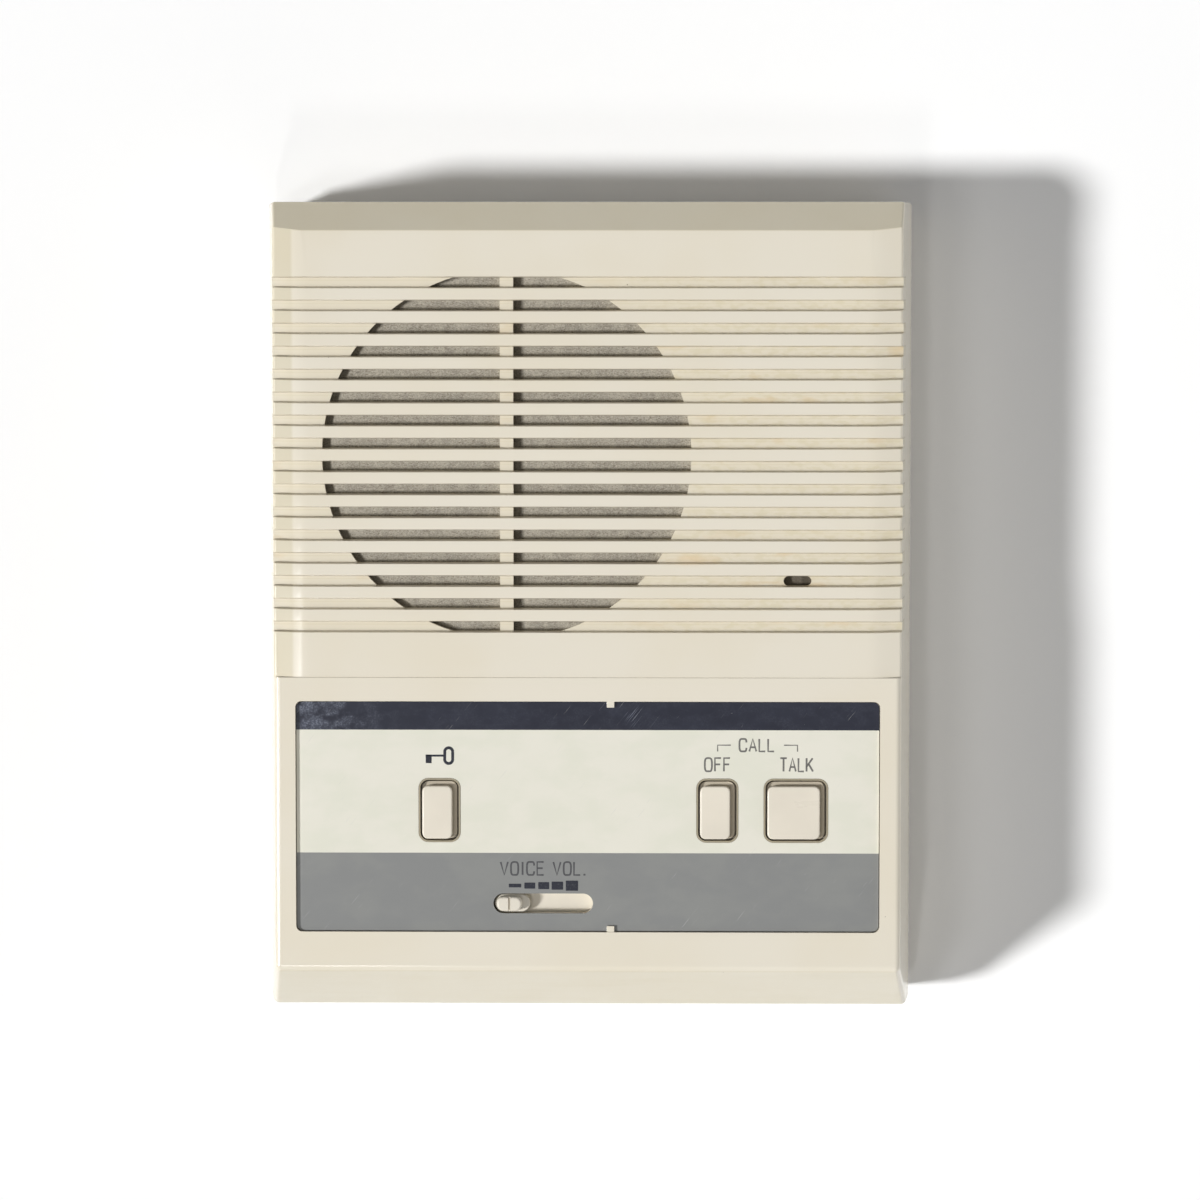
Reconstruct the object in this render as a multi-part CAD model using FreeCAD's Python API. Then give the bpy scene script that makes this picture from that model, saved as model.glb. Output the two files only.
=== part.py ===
import FreeCAD, Part

import math
import os

# A desk intercom master station that lies on its back. Millimetres. +X is to the right, +Y is towards the
# top edge and +Z comes out of the face. The origin is under the middle of the case, at the feet.

V = FreeCAD.Vector

# ---------------------------------------------------------------- driving sizes: the case
case_width = 160.0
case_length = 200.0
foot_height = 2.0
rear_depth = 10.0  # rear case, from its back to the parting line
front_depth = 34.0  # front case, from the parting line to the face
wall = 2.4
face_thickness = 3.8
rear_floor = 2.5
side_lean = 3.5  # each long side of the front case leans in this far over its depth
rear_lean = 1.5  # each side of the rear case leans in this far towards the back
rear_corner = 2.0
lap_height = 1.5  # tongue of the rear case inside the front case
lap_thickness = 1.2
lap_gap = 0.2

seam_step = 0.3  # the upper face lies this far below the lower one
bevel_run = 6.9
bevel_drop = 7.7
bevel_edge_radius = 0.5
top_edge_radius = 0.8
chin_run = 12.2
chin_drop = 26.0
chin_radius = 2.0
chin_foot_radius = 3.0
crown_width = 8.5  # the upper face bends down this far inside its long edges
crown_radius = 30.0  # of the bend
crown_tilt = 8.0  # degrees that it bends by, before it runs straight to the edge
upper_edge_radius = 0.8
lower_edge_radius = 1.5

# ---------------------------------------------------------------- driving sizes: the grille
groove_count = 16
groove_pitch = 5.59
groove_floor_height = 2.3
groove_draft = 0.25  # each side of a groove opens this much from floor to mouth
groove_depth = 1.7
first_groove_from_top = 19.55
grille_inset = 3.0  # from the speaker's rim in to the edge of the grille
grille_rib_width = 3.3
speaker_from_left = 56.8  # from the left edge line of the face to the speaker's middle

microphone_from_right = 25.3
microphone_groove = 13  # counted from the top groove, which is 0
microphone_hole_length = 6.8

# ---------------------------------------------------------------- driving sizes: the control recess
recess_side_margin = 5.1  # from the lower face's edge line to the recess
recess_from_bottom = 21.65
recess_height = 56.7
recess_depth = 1.9
recess_corner = 1.5
seam_above_recess = 5.8
label_thickness = 1.0
label_gap = 0.15
tab_width = 1.85
tab_reach = 1.5
tab_thickness = 0.7
tab_gap = 0.05
tab_x = 5.65

# ---------------------------------------------------------------- driving sizes: buttons and slider
button_row_above_recess = 29.9  # height of the buttons' centres over the recess's lower edge
door_from_left = 40.3  # from the left edge line of the face to the middle of the button
off_from_right = 44.75
talk_from_right = 25.55
narrow_well = 9.4
wide_well = 14.9
well_height = 14.9
well_corner = 2.0
collar_thickness = 0.4
collar_rise = 0.1
collar_gap = 0.05
button_gap = 0.55  # between a cap and its well
button_slope = 1.1  # width and drop of the slope round a cap's top
button_rise = 0.9  # the caps stand this far over the label plate
button_travel = 2.0
flange_overlap = 1.2
flange_thickness = 1.3
rest_gap = 0.3  # clearance of a moving piece under its stop
stem_radius = 1.6
plunger_radius = 1.3
plunger_gap = 0.06
plunger_hold = 1.2  # length of plunger inside the switch at rest
switch_size = 9.0
switch_height = 4.5
switch_corner = 0.6
spring_mean_radius = 2.6
spring_wire_radius = 0.25
spring_turns = 4
spring_seat_gap = 0.05

slot_x = -10.85
slot_above_recess = 6.95
slot_length = 24.4
slot_height = 4.9
volume_travel = 15.0
slider_end_gap = 0.4
slider_side_gap = 0.3
slider_top_drop = 0.8  # the slider's base stays this far under the label plate's surface
grip_length = 6.4
grip_width = 4.0
grip_height = 2.4
grip_offset = -0.8
grip_index_width = 0.5
shutter_thickness = 0.8
shutter_overlap = 1.5
guide_thickness = 1.2
guide_drop = 1.6
guide_gap = 0.3
lever_length = 4.0
lever_thickness = 1.2
lever_gap = 0.05
track_width = 9.0
track_height = 6.5
track_end = 5.0
track_slot_gap = 0.4
fork_wall = 1.2
fork_drop = 3.4

# ---------------------------------------------------------------- driving sizes: the board
board_from_face = 16.0  # from the lower face down to the board's upper side
board_thickness = 1.6
board_side_gap = 4.0
board_from_bottom = 21.0
board_speaker_gap = 6.5  # from the speaker's rim down to the middle edge of the L-shaped board
board_column_width = 37.0
board_column_height = 82.0
post_radius = 3.0
post_inset = 4.0
screw_radius = 1.3
screw_gap = 0.05
screw_head_radius = 2.6
screw_head_height = 1.8
screw_length = 8.0
board_hole_gap = 0.2

# ---------------------------------------------------------------- driving sizes: the loudspeaker
cloth_thickness = 0.4
cloth_margin = 2.5
gasket_thickness = 1.0
gasket_width = 3.2
speaker_radius = 48.0
rim_width = 4.5
rim_thickness = 1.2
basket_depth = 17.0
basket_wall = 1.0
basket_neck_radius = 20.0
basket_window_count = 6
basket_window_width = 9.0
basket_window_margin = 4.0
cone_thickness = 0.6
cone_depth = 11.0
coil_radius = 7.3
coil_wall = 0.3
coil_length = 6.0
dust_cap_radius = 11.0
dust_cap_rise = 3.0
front_plate_thickness = 2.5
front_plate_radius = 16.0
pole_radius = 6.7
pole_gap = 1.3
magnet_thickness = 8.0
magnet_radius = 17.5
magnet_bore_radius = 10.0
yoke_thickness = 2.5
clamp_count = 4
clamp_width = 7.0
clamp_thickness = 1.0
clamp_hold = 3.0
clamp_post_gap = 1.0
clamp_tail = 1.0
first_clamp_angle = 45.0
clamp_screw_length = 2.4

# ---------------------------------------------------------------- driving sizes: small parts
boot_radius = 6.5
capsule_radius = 4.8
capsule_height = 6.0
capsule_gap = 0.1
capsule_hole_count = 6
capsule_hole_radius = 0.5
capsule_hole_depth = 1.0
microphone_cloth_margin = 4.0

case_screw_radius = 1.5
case_screw_head_radius = 3.0
case_screw_head_height = 2.0
case_screw_sink = 1.0
case_screw_length = 18.0
case_boss_radius = 4.4
case_boss_inset_x = 14.0
case_boss_inset_top = 14.0
case_boss_inset_bottom = 15.0
foot_radius = 6.0
foot_inset_x = 22.0
foot_inset_y = 36.0

window_width = 40.0
window_height = 28.0
window_corner = 2.0
wall_hole_radius = 2.25
wall_hole_spacing = 83.5

terminal_count = 6
terminal_pitch = 6.0
terminal_depth = 10.0
terminal_height = 9.0
terminal_barrier = 1.0
terminal_pocket = 3.0
terminal_edge_gap = 0.3
terminal_screw_radius = 1.9
terminal_screw_height = 1.6
terminal_slot = 0.6

strip_length = 14.0
strip_thickness = 1.5
lug_width = 2.4
lug_thickness = 0.8
lug_length = 3.5
wire_radius = 0.6
wire_drop = 2.3
wire_landing = 6.0  # how far in from the board's edge the speaker wires end

transformer_from_left = 11.0
transformer_from_edge = 26.0
transformer_leg = 4.0
transformer_window = 4.0
transformer_stack = 9.0
transformer_height = 10.5
transformer_yoke = 2.6
winding_overhang = 3.0
winding_gap = 0.1

chip_x = -4.0
chip_track_gap = 3.0
chip_length = 9.4
chip_width = 6.2
chip_stand = 0.5
chip_thickness = 3.4
chip_leg_count = 4
chip_leg_pitch = 2.4
chip_leg_width = 0.6

filter_x = -18.0
filter_from_edge = 14.0
filter_pitch = 13.0
filter_count = 3
filter_radius = 4.5
filter_height = 9.5

ceramic_radius = 3.0
ceramic_thickness = 2.0
ceramic_count = 4
ceramic_pitch = 8.0
ceramic_from_column_edge = 9.0
transistor_radius = 2.4
transistor_height = 5.0
transistor_count = 3
transistor_pitch = 10.0
transistor_from_column_edge = 24.0
column_row_from_edge = 40.0  # first ceramic capacitor and transistor, above the board's middle edge

resistor_radius = 1.1
resistor_length = 6.0
resistor_count = 6
resistor_pitch = 8.0
resistor_track_gap = 3.0
diode_radius = 0.9
diode_length = 4.0
diode_count = 4
diode_pitch = 3.0
diode_chip_gap = 8.0

# ---------------------------------------------------------------- levels and lines worked out from them
back_z = foot_height
parting_z = back_z + rear_depth
face_z = parting_z + front_depth
upper_face_z = face_z - seam_step
inner_face_z = face_z - face_thickness
groove_floor_z = upper_face_z - groove_depth
recess_z = face_z - recess_depth
label_z = recess_z + label_thickness
board_top_z = face_z - board_from_face
board_bottom_z = board_top_z - board_thickness
flange_top_z = inner_face_z - rest_gap
flange_bottom_z = flange_top_z - flange_thickness
switch_top_z = board_top_z + switch_height
plunger_top_z = switch_top_z + button_travel + plunger_gap + rest_gap

top_y = case_length / 2
bottom_y = -case_length / 2
chin_z = face_z - chin_drop
bevel_foot_z = upper_face_z - bevel_drop
recess_low_y = bottom_y + recess_from_bottom
recess_high_y = recess_low_y + recess_height
recess_y = (recess_low_y + recess_high_y) / 2
face_half_width = case_width / 2 - side_lean
recess_half_width = face_half_width - recess_side_margin
seam_y = recess_high_y + seam_above_recess
button_y = recess_low_y + button_row_above_recess
slot_y = recess_low_y + slot_above_recess
first_groove_y = top_y - first_groove_from_top
groove_lines = [first_groove_y - i * groove_pitch for i in range(groove_count)]
speaker_x = speaker_from_left - face_half_width
speaker_y = (groove_lines[0] + groove_lines[-1]) / 2
grille_radius = speaker_radius - grille_inset
microphone_x = face_half_width - microphone_from_right
microphone_y = groove_lines[microphone_groove]

cloth_z = inner_face_z - cloth_thickness
rim_top_z = cloth_z - gasket_thickness
rim_bottom_z = rim_top_z - rim_thickness
neck_z = rim_bottom_z - basket_depth
magnet_top_z = neck_z - basket_wall - front_plate_thickness
magnet_bottom_z = magnet_top_z - magnet_thickness
yoke_bottom_z = magnet_bottom_z - yoke_thickness

board_half_width = face_half_width - wall - board_side_gap
board_low_y = bottom_y + board_from_bottom
board_mid_y = speaker_y - speaker_radius - board_speaker_gap
board_high_y = board_mid_y + board_column_height
board_column_x = board_half_width - board_column_width

window_y = board_mid_y
terminal_y = board_mid_y - terminal_depth / 2 - terminal_edge_gap
transformer_width = 3 * transformer_leg + 2 * transformer_window
transformer_x = -board_half_width + transformer_from_left
transformer_y = board_mid_y - transformer_from_edge
strip_y = speaker_y - speaker_radius + (rim_width - basket_wall) / 2
lug_bottom_z = rim_bottom_z - strip_thickness - lug_length

slider_length = slot_length - volume_travel - 2 * slider_end_gap
slider_width = slot_height - 2 * slider_side_gap
slider_x = slot_x - volume_travel / 2  # middle of the slider's base at rest
shutter_top_z = inner_face_z - rest_gap
shutter_bottom_z = shutter_top_z - shutter_thickness
shutter_half_width = slot_height / 2 + shutter_overlap
track_length = volume_travel + lever_length + 2 * track_slot_gap + 2 * track_end
track_top_z = board_top_z + track_height
track_end_x = slot_x + track_length / 2
chip_y = slot_y + track_width / 2 + chip_track_gap + chip_width / 2 + chip_leg_width

PAST = 1.0  # cutters and trimming blocks run this far past what they cut
BEND_SHARE = 0.45  # share of the shorter run that each bend of a wire takes
COIL_POINTS = 8  # corners of a spring's path in each turn
BUTTONS = {
    "door": (door_from_left - face_half_width, narrow_well),
    "off": (face_half_width - off_from_right, narrow_well),
    "talk": (face_half_width - talk_from_right, wide_well),
}
CASE_BOSSES = [
    (side * (case_width / 2 - case_boss_inset_x), y)
    for side in (-1, 1)
    for y in (top_y - case_boss_inset_top, bottom_y + case_boss_inset_bottom)
]
BOARD_POSTS = [
    (-board_half_width + post_inset, board_low_y + post_inset),
    (board_half_width - post_inset, board_low_y + post_inset),
    (-board_half_width + post_inset, board_mid_y - post_inset),
    (board_half_width - post_inset, board_mid_y - post_inset),
    (board_half_width - post_inset, board_high_y - post_inset),
    (board_column_x + post_inset, board_high_y - post_inset),
]


# ---------------------------------------------------------------- plain shapes
def block(x0, x1, y0, y1, z0, z1):
    """Upright block between two corners."""
    return Part.makeBox(x1 - x0, y1 - y0, z1 - z0, V(x0, y0, z0))


def centred_block(x, y, width, height, z0, z1):
    """Block of a width along X and a height along Y, centred on (x, y)."""
    return block(x - width / 2, x + width / 2, y - height / 2, y + height / 2, z0, z1)


def disc(x, y, radius, z0, z1):
    """Upright cylinder."""
    return Part.makeCylinder(radius, z1 - z0, V(x, y, z0))


def ring(x, y, outer_radius, inner_radius, z0, z1):
    """Upright tube."""
    return disc(x, y, outer_radius, z0, z1).cut(disc(x, y, inner_radius, z0, z1))


def is_upright(edge):
    """True for a straight edge that runs along Z."""
    box = edge.BoundBox
    return box.ZLength > 0 and max(box.XLength, box.YLength) < 1e-6


def rounded_block(x, y, width, height, radius, z0, z1):
    """Block centred on (x, y) with its four upright edges rounded."""
    solid = centred_block(x, y, width, height, z0, z1)
    return solid.makeFillet(radius, [edge for edge in solid.Edges if is_upright(edge)])


def obround(x, y, length, height, z0, z1):
    """Block along X with half-round ends."""
    reach = (length - height) / 2
    solid = block(x - reach, x + reach, y - height / 2, y + height / 2, z0, z1)
    for side in (-1, 1):
        solid = solid.fuse(disc(x + side * reach, y, height / 2, z0, z1))
    return solid.removeSplitter()


def profile(points, place):
    """Closed face through corners (u, v, radius), each rounded to its radius, set in space by place(u, v)."""
    edges = []
    ends = []
    count = len(points)
    for i in range(count):
        u, v, radius = points[i]
        here = V(u, v, 0)
        before = V(points[i - 1][0], points[i - 1][1], 0) - here
        after = V(points[(i + 1) % count][0], points[(i + 1) % count][1], 0) - here
        if radius == 0:
            ends.append((here, here))
            continue
        half_angle = before.getAngle(after) / 2
        before.normalize()
        after.normalize()
        inward = before + after
        inward.normalize()
        start = here + before * (radius / math.tan(half_angle))
        stop = here + after * (radius / math.tan(half_angle))
        middle = here + inward * (radius / math.sin(half_angle) - radius)
        arc = Part.Arc(place(start.x, start.y), place(middle.x, middle.y), place(stop.x, stop.y))
        edges.append(arc.toShape())
        ends.append((start, stop))
    for i in range(count):
        start = ends[i - 1][1]
        stop = ends[i][0]
        edges.append(Part.LineSegment(place(start.x, start.y), place(stop.x, stop.y)).toShape())
    return Part.Face(Part.Wire(Part.__sortEdges__(edges)))


def prism_along_x(points, x0, x1):
    """Solid of a (y, z, radius) outline from x0 to x1."""
    return profile(points, lambda y, z: V(x0, y, z)).extrude(V(x1 - x0, 0, 0))


def prism_along_y(points, y0, y1):
    """Solid of an (x, z, radius) outline from y0 to y1."""
    return profile(points, lambda x, z: V(x, y0, z)).extrude(V(0, y1 - y0, 0))


def turned(x, y, points):
    """Solid of revolution of an (r, z) outline about the upright axis through (x, y)."""
    face = profile([(r, z, 0) for r, z in points], lambda r, z: V(x + r, y, z))
    return face.revolve(V(x, y, 0), V(0, 0, 1), 360)


def wire(points, radius):
    """Round wire along straight runs joined by tangent arcs."""
    edges = []
    start = points[0]
    for i in range(1, len(points) - 1):
        here = points[i]
        before = points[i - 1] - here
        after = points[i + 1] - here
        half_angle = before.getAngle(after) / 2
        reach = BEND_SHARE * min(before.Length, after.Length)
        before.normalize()
        after.normalize()
        bend = reach * math.tan(half_angle)
        inward = before + after
        inward.normalize()
        first = here + before * reach
        middle = here + inward * (bend / math.sin(half_angle) - bend)
        last = here + after * reach
        edges.append(Part.LineSegment(start, first).toShape())
        edges.append(Part.Arc(first, middle, last).toShape())
        start = last
    edges.append(Part.LineSegment(start, points[-1]).toShape())
    path = Part.Wire(edges)
    section = Part.Wire(Part.Circle(points[0], points[1] - points[0], radius).toShape())
    return path.makePipeShell([section], True, True)


def group(solids):
    """Separate solids kept together as one node."""
    return Part.makeCompound(solids)


# ---------------------------------------------------------------- front case
def half_width_at(z):
    """Half the front case's width at a height, on its leaning sides."""
    return case_width / 2 - side_lean * (z - parting_z) / front_depth


def leaning_block(inset, y0, y1, z0, z1):
    """Block between the leaning sides, moved in by inset on each side."""
    low = half_width_at(z0) - inset
    high = half_width_at(z1) - inset
    return prism_along_y([(-low, z0, 0), (low, z0, 0), (high, z1, 0), (-high, z1, 0)], y0, y1)


def crown_block(drop, y0, y1):
    """Everything under the crowned upper face, lowered by drop and wider than the case."""
    flat = face_half_width - crown_width
    top = upper_face_z - drop

    def on_bend(side, degrees):
        """Point of the crown's bend, that far round from the flat."""
        angle = math.radians(degrees)
        reach = crown_radius * math.sin(angle)
        return V(side * (flat + reach), y0, top - crown_radius * (1 - math.cos(angle)))

    edges = [Part.LineSegment(on_bend(-1, 0), on_bend(1, 0)).toShape()]
    for side in (-1, 1):
        end = on_bend(side, crown_tilt)
        edges.append(Part.Arc(on_bend(side, 0), on_bend(side, crown_tilt / 2), end).toShape())
        fall = (case_width - abs(end.x)) * math.tan(math.radians(crown_tilt))
        shoulder = V(side * case_width, y0, end.z - fall)
        edges.append(Part.LineSegment(end, shoulder).toShape())
        edges.append(Part.LineSegment(shoulder, V(shoulder.x, y0, 0)).toShape())
    edges.append(Part.LineSegment(V(-case_width, y0, 0), V(case_width, y0, 0)).toShape())
    return Part.Face(Part.Wire(Part.__sortEdges__(edges))).extrude(V(0, y1 - y0, 0))


def rounded_sides(solid, radius):
    """Round the edges of the leaning sides, except at the parting line and at the seam."""
    chosen = []
    for edge in solid.Edges:
        first, last = edge.ParameterRange
        points = [edge.valueAt(first + (last - first) * share) for share in (0, 0.5, 1)]
        on_side = all(abs(abs(p.x) - half_width_at(p.z)) < 1e-4 for p in points)
        at_parting = all(abs(p.z - parting_z) < 1e-4 for p in points)
        at_seam = all(abs(p.y - seam_y) < 1e-4 for p in points)
        if on_side and not at_parting and not at_seam:
            chosen.append(edge)
    return solid.makeFillet(radius, chosen)


def lower_body():
    """Outside of the front case below the seam, with its sloping chin."""
    side = [
        (bottom_y, parting_z, 0),
        (bottom_y, chin_z, chin_foot_radius),
        (bottom_y + chin_run, face_z, chin_radius),
        (seam_y, face_z, 0),
        (seam_y, parting_z, 0),
    ]
    solid = prism_along_x(side, -case_width, case_width)
    solid = solid.common(leaning_block(0, bottom_y - PAST, seam_y + PAST, parting_z, face_z))
    return rounded_sides(solid, lower_edge_radius)


def upper_body():
    """Outside of the front case above the seam, with its crowned face and bevelled top edge."""
    side = [
        (seam_y, parting_z, 0),
        (seam_y, upper_face_z, 0),
        (top_y - bevel_run, upper_face_z, bevel_edge_radius),
        (top_y, bevel_foot_z, top_edge_radius),
        (top_y, parting_z, 0),
    ]
    solid = prism_along_x(side, -case_width, case_width)
    solid = solid.common(crown_block(0, seam_y - PAST, top_y + PAST))
    solid = solid.common(leaning_block(0, seam_y - PAST, top_y + PAST, parting_z, face_z))
    return rounded_sides(solid, upper_edge_radius)


def case_cavity():
    """Inside of the front case, open at the parting line."""
    chin_shift = wall * math.hypot(chin_run, chin_drop) / chin_drop
    chin_slope = chin_run / chin_drop
    bevel_shift = wall * math.hypot(bevel_run, bevel_drop) / bevel_drop
    bevel_slope = bevel_run / bevel_drop
    low_z = parting_z - PAST
    side = [
        (bottom_y + wall, low_z, 0),
        (bottom_y + wall, chin_z - (chin_shift - wall) / chin_slope, 0),
        (bottom_y + (inner_face_z - chin_z) * chin_slope + chin_shift, inner_face_z, 0),
        (top_y - (inner_face_z - bevel_foot_z) * bevel_slope - bevel_shift, inner_face_z, 0),
        (top_y - wall, bevel_foot_z - (bevel_shift - wall) / bevel_slope, 0),
        (top_y - wall, low_z, 0),
    ]
    solid = prism_along_x(side, -case_width, case_width)
    return solid.common(leaning_block(wall, bottom_y, top_y, low_z, face_z))


def groove_cutters():
    """Grooves across the upper face, with floors that follow the crown."""
    floor = groove_floor_height / 2
    mouth = floor + groove_draft * (groove_depth + PAST) / groove_depth
    lowest = parting_z
    cutters = []
    for y in groove_lines:
        outline = [
            (y - floor, lowest, 0),
            (y + floor, lowest, 0),
            (y + floor, groove_floor_z, 0),
            (y + mouth, upper_face_z + PAST, 0),
            (y - mouth, upper_face_z + PAST, 0),
            (y - floor, groove_floor_z, 0),
        ]
        cutters.append(prism_along_x(outline, -case_width, case_width))
    return group(cutters).cut(crown_block(groove_depth, bottom_y, top_y + PAST))


def sound_slots():
    """Openings through the groove floors inside the speaker circle, split by the upright rib."""
    slots = []
    for y in groove_lines:
        half = groove_floor_height / 2
        slots.append(block(-case_width, case_width, y - half, y + half, inner_face_z - PAST, upper_face_z))
    field = disc(speaker_x, speaker_y, grille_radius, inner_face_z - PAST, upper_face_z)
    rib = centred_block(speaker_x, speaker_y, grille_rib_width, case_length, inner_face_z - 2 * PAST, face_z)
    return group(slots).common(field).cut(rib)


def control_wells(extra, z0, z1):
    """The three button wells as solids, grown by extra on each side."""
    wells = []
    for x, width in BUTTONS.values():
        corner = well_corner + extra
        wells.append(rounded_block(x, button_y, width + 2 * extra, well_height + 2 * extra, corner, z0, z1))
    return group(wells)


def recess_tabs():
    """Two small tabs that hold the label plate down."""
    tabs = []
    for edge_y, way in ((recess_high_y, -1), (recess_low_y, 1)):
        low, high = sorted((edge_y - way, edge_y + way * tab_reach))
        z0 = label_z + tab_gap
        tabs.append(block(tab_x - tab_width / 2, tab_x + tab_width / 2, low, high, z0, z0 + tab_thickness))
    return tabs


def slider_guides():
    """Two ribs under the face that the shutter of the slider runs between."""
    x0 = slot_x - slot_length / 2 - volume_travel - shutter_overlap
    x1 = slot_x + slot_length / 2 + volume_travel + shutter_overlap
    guides = []
    for side in (-1, 1):
        near = slot_y + side * (shutter_half_width + guide_gap)
        low, high = sorted((near, near + side * guide_thickness))
        guides.append(block(x0, x1, low, high, inner_face_z - guide_drop, inner_face_z + PAST))
    return guides


def clamp_places():
    """Centres of the speaker clamps' posts and their angles about the speaker."""
    reach = speaker_radius + clamp_post_gap + post_radius
    places = []
    for i in range(clamp_count):
        angle = first_clamp_angle + i * 360 / clamp_count
        x = speaker_x + reach * math.cos(math.radians(angle))
        y = speaker_y + reach * math.sin(math.radians(angle))
        places.append((x, y, angle))
    return places


def front_case():
    outside = upper_body().fuse(lower_body())
    solid = outside.cut(case_cavity())
    solid = solid.cut(groove_cutters()).cut(sound_slots())
    hole_length = microphone_hole_length
    hole_height = groove_floor_height
    hole_low = inner_face_z - PAST
    solid = solid.cut(obround(microphone_x, microphone_y, hole_length, hole_height, hole_low, face_z))
    recess_width = 2 * recess_half_width
    recess = rounded_block(0, recess_y, recess_width, recess_height, recess_corner, recess_z, face_z + PAST)
    solid = solid.cut(recess)
    collars = control_wells(collar_thickness, recess_z - rest_gap, label_z + collar_rise)
    additions = list(collars.Solids) + recess_tabs() + slider_guides()
    for x, y in CASE_BOSSES:
        boss = disc(x, y, case_boss_radius, parting_z, inner_face_z + wall / 2)
        additions += boss.common(outside).Solids
    for x, y in BOARD_POSTS:
        additions.append(disc(x, y, post_radius, board_top_z, inner_face_z + wall / 2))
    for x, y, _ in clamp_places():
        additions.append(disc(x, y, post_radius, rim_bottom_z, inner_face_z + wall / 2))
    solid = solid.fuse(additions)
    cuts = list(control_wells(0, inner_face_z - PAST, face_z + PAST).Solids)
    cuts.append(obround(slot_x, slot_y, slot_length, slot_height, inner_face_z - PAST, face_z + PAST))
    for x, y in CASE_BOSSES:
        depth = case_screw_sink + case_screw_head_height + case_screw_length + PAST
        cuts.append(disc(x, y, case_screw_radius + screw_gap, parting_z - PAST, back_z + depth))
    for x, y in BOARD_POSTS:
        hole_top = board_bottom_z + screw_length + PAST
        cuts.append(disc(x, y, screw_radius + screw_gap, board_top_z - PAST, hole_top))
    for x, y, _ in clamp_places():
        hole_top = rim_bottom_z + clamp_screw_length + screw_gap
        cuts.append(disc(x, y, screw_radius + screw_gap, rim_bottom_z - PAST, hole_top))
    return solid.cut(cuts).removeSplitter()


# ---------------------------------------------------------------- rear case, feet and screws
def tapered_outline(half, inset, z0, z1):
    """Corners of the rear case's outline in one upright plane, moved in by inset, between two heights."""
    low = half - inset - rear_lean * (parting_z - z0) / rear_depth
    high = half - inset - rear_lean * (parting_z - z1) / rear_depth
    return [(-low, z0, 0), (low, z0, 0), (high, z1, 0), (-high, z1, 0)]


def tapered(inset, z0, z1):
    """Block of the rear case's outline, moved in by inset, between two heights."""
    across = prism_along_y(tapered_outline(case_width / 2, inset, z0, z1), -case_length, case_length)
    along = prism_along_x(tapered_outline(case_length / 2, inset, z0, z1), -case_width, case_width)
    return across.common(along)


def rear_case():
    solid = tapered(0, back_z, parting_z)
    corners = [edge for edge in solid.Edges if abs(edge.BoundBox.ZLength - rear_depth) < 1e-4]
    solid = solid.makeFillet(rear_corner, corners)
    solid = solid.cut(tapered(wall, back_z + rear_floor, parting_z + PAST))
    tongue_inset = wall + lap_gap
    tongue_top = parting_z + lap_height
    foot_z = parting_z - 2 * lap_height
    outer = leaning_block(tongue_inset, bottom_y + tongue_inset, top_y - tongue_inset, parting_z, tongue_top)
    inner_inset = tongue_inset + lap_thickness
    tongue = outer.fuse(tapered(wall - lap_gap, foot_z, parting_z))
    low_y = bottom_y + inner_inset
    high_y = top_y - inner_inset
    tongue = tongue.cut(leaning_block(inner_inset, low_y, high_y, foot_z - PAST, tongue_top + PAST))
    solid = solid.fuse(tongue)
    for x, y in CASE_BOSSES:
        solid = solid.fuse(disc(x, y, case_boss_radius, back_z, parting_z))
    cuts = [rounded_block(0, window_y, window_width, window_height, window_corner, 0, parting_z)]
    for x, y in CASE_BOSSES:
        cuts.append(disc(x, y, case_screw_radius + 2 * screw_gap, 0, parting_z + PAST))
        head_top = back_z + case_screw_sink + case_screw_head_height
        cuts.append(disc(x, y, case_screw_head_radius + 2 * screw_gap, 0, head_top))
    for side in (-1, 1):
        cuts.append(disc(0, side * wall_hole_spacing / 2, wall_hole_radius, 0, parting_z))
    return solid.cut(cuts).removeSplitter()


def rubber_feet():
    feet = []
    for side in (-1, 1):
        for end in (-1, 1):
            x = side * (case_width / 2 - foot_inset_x)
            y = end * (case_length / 2 - foot_inset_y)
            feet.append(disc(x, y, foot_radius, 0, foot_height))
    return group(feet)


def screw(x, y, radius, head_radius, head_z, head_height, length):
    """Pan-head screw that points up, with its head from head_z and a cross recess."""
    neck = head_z + head_height
    solid = disc(x, y, head_radius, head_z, neck).fuse(disc(x, y, radius, neck, neck + length))
    slot = radius / 2
    for width, height in ((slot, 2 * radius), (2 * radius, slot)):
        solid = solid.cut(centred_block(x, y, width, height, head_z, head_z + head_height / 2))
    return solid.removeSplitter()


def small_screw(x, y, head_z, length):
    """Screw of the size that holds the board and the speaker clamps."""
    return screw(x, y, screw_radius, screw_head_radius, head_z, screw_head_height, length)


def case_screws():
    screws = []
    head_z = back_z + case_screw_sink
    for x, y in CASE_BOSSES:
        head_radius = case_screw_head_radius
        head_height = case_screw_head_height
        screws.append(screw(x, y, case_screw_radius, head_radius, head_z, head_height, case_screw_length))
    return group(screws)


# ---------------------------------------------------------------- label plate
def label_plate():
    width = 2 * (recess_half_width - label_gap)
    height = recess_height - 2 * label_gap
    solid = rounded_block(0, recess_y, width, height, recess_corner, recess_z, label_z)
    solid = solid.cut(control_wells(collar_thickness + collar_gap, recess_z - PAST, label_z + PAST))
    return solid.cut(obround(slot_x, slot_y, slot_length, slot_height, recess_z - PAST, label_z + PAST))


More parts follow.
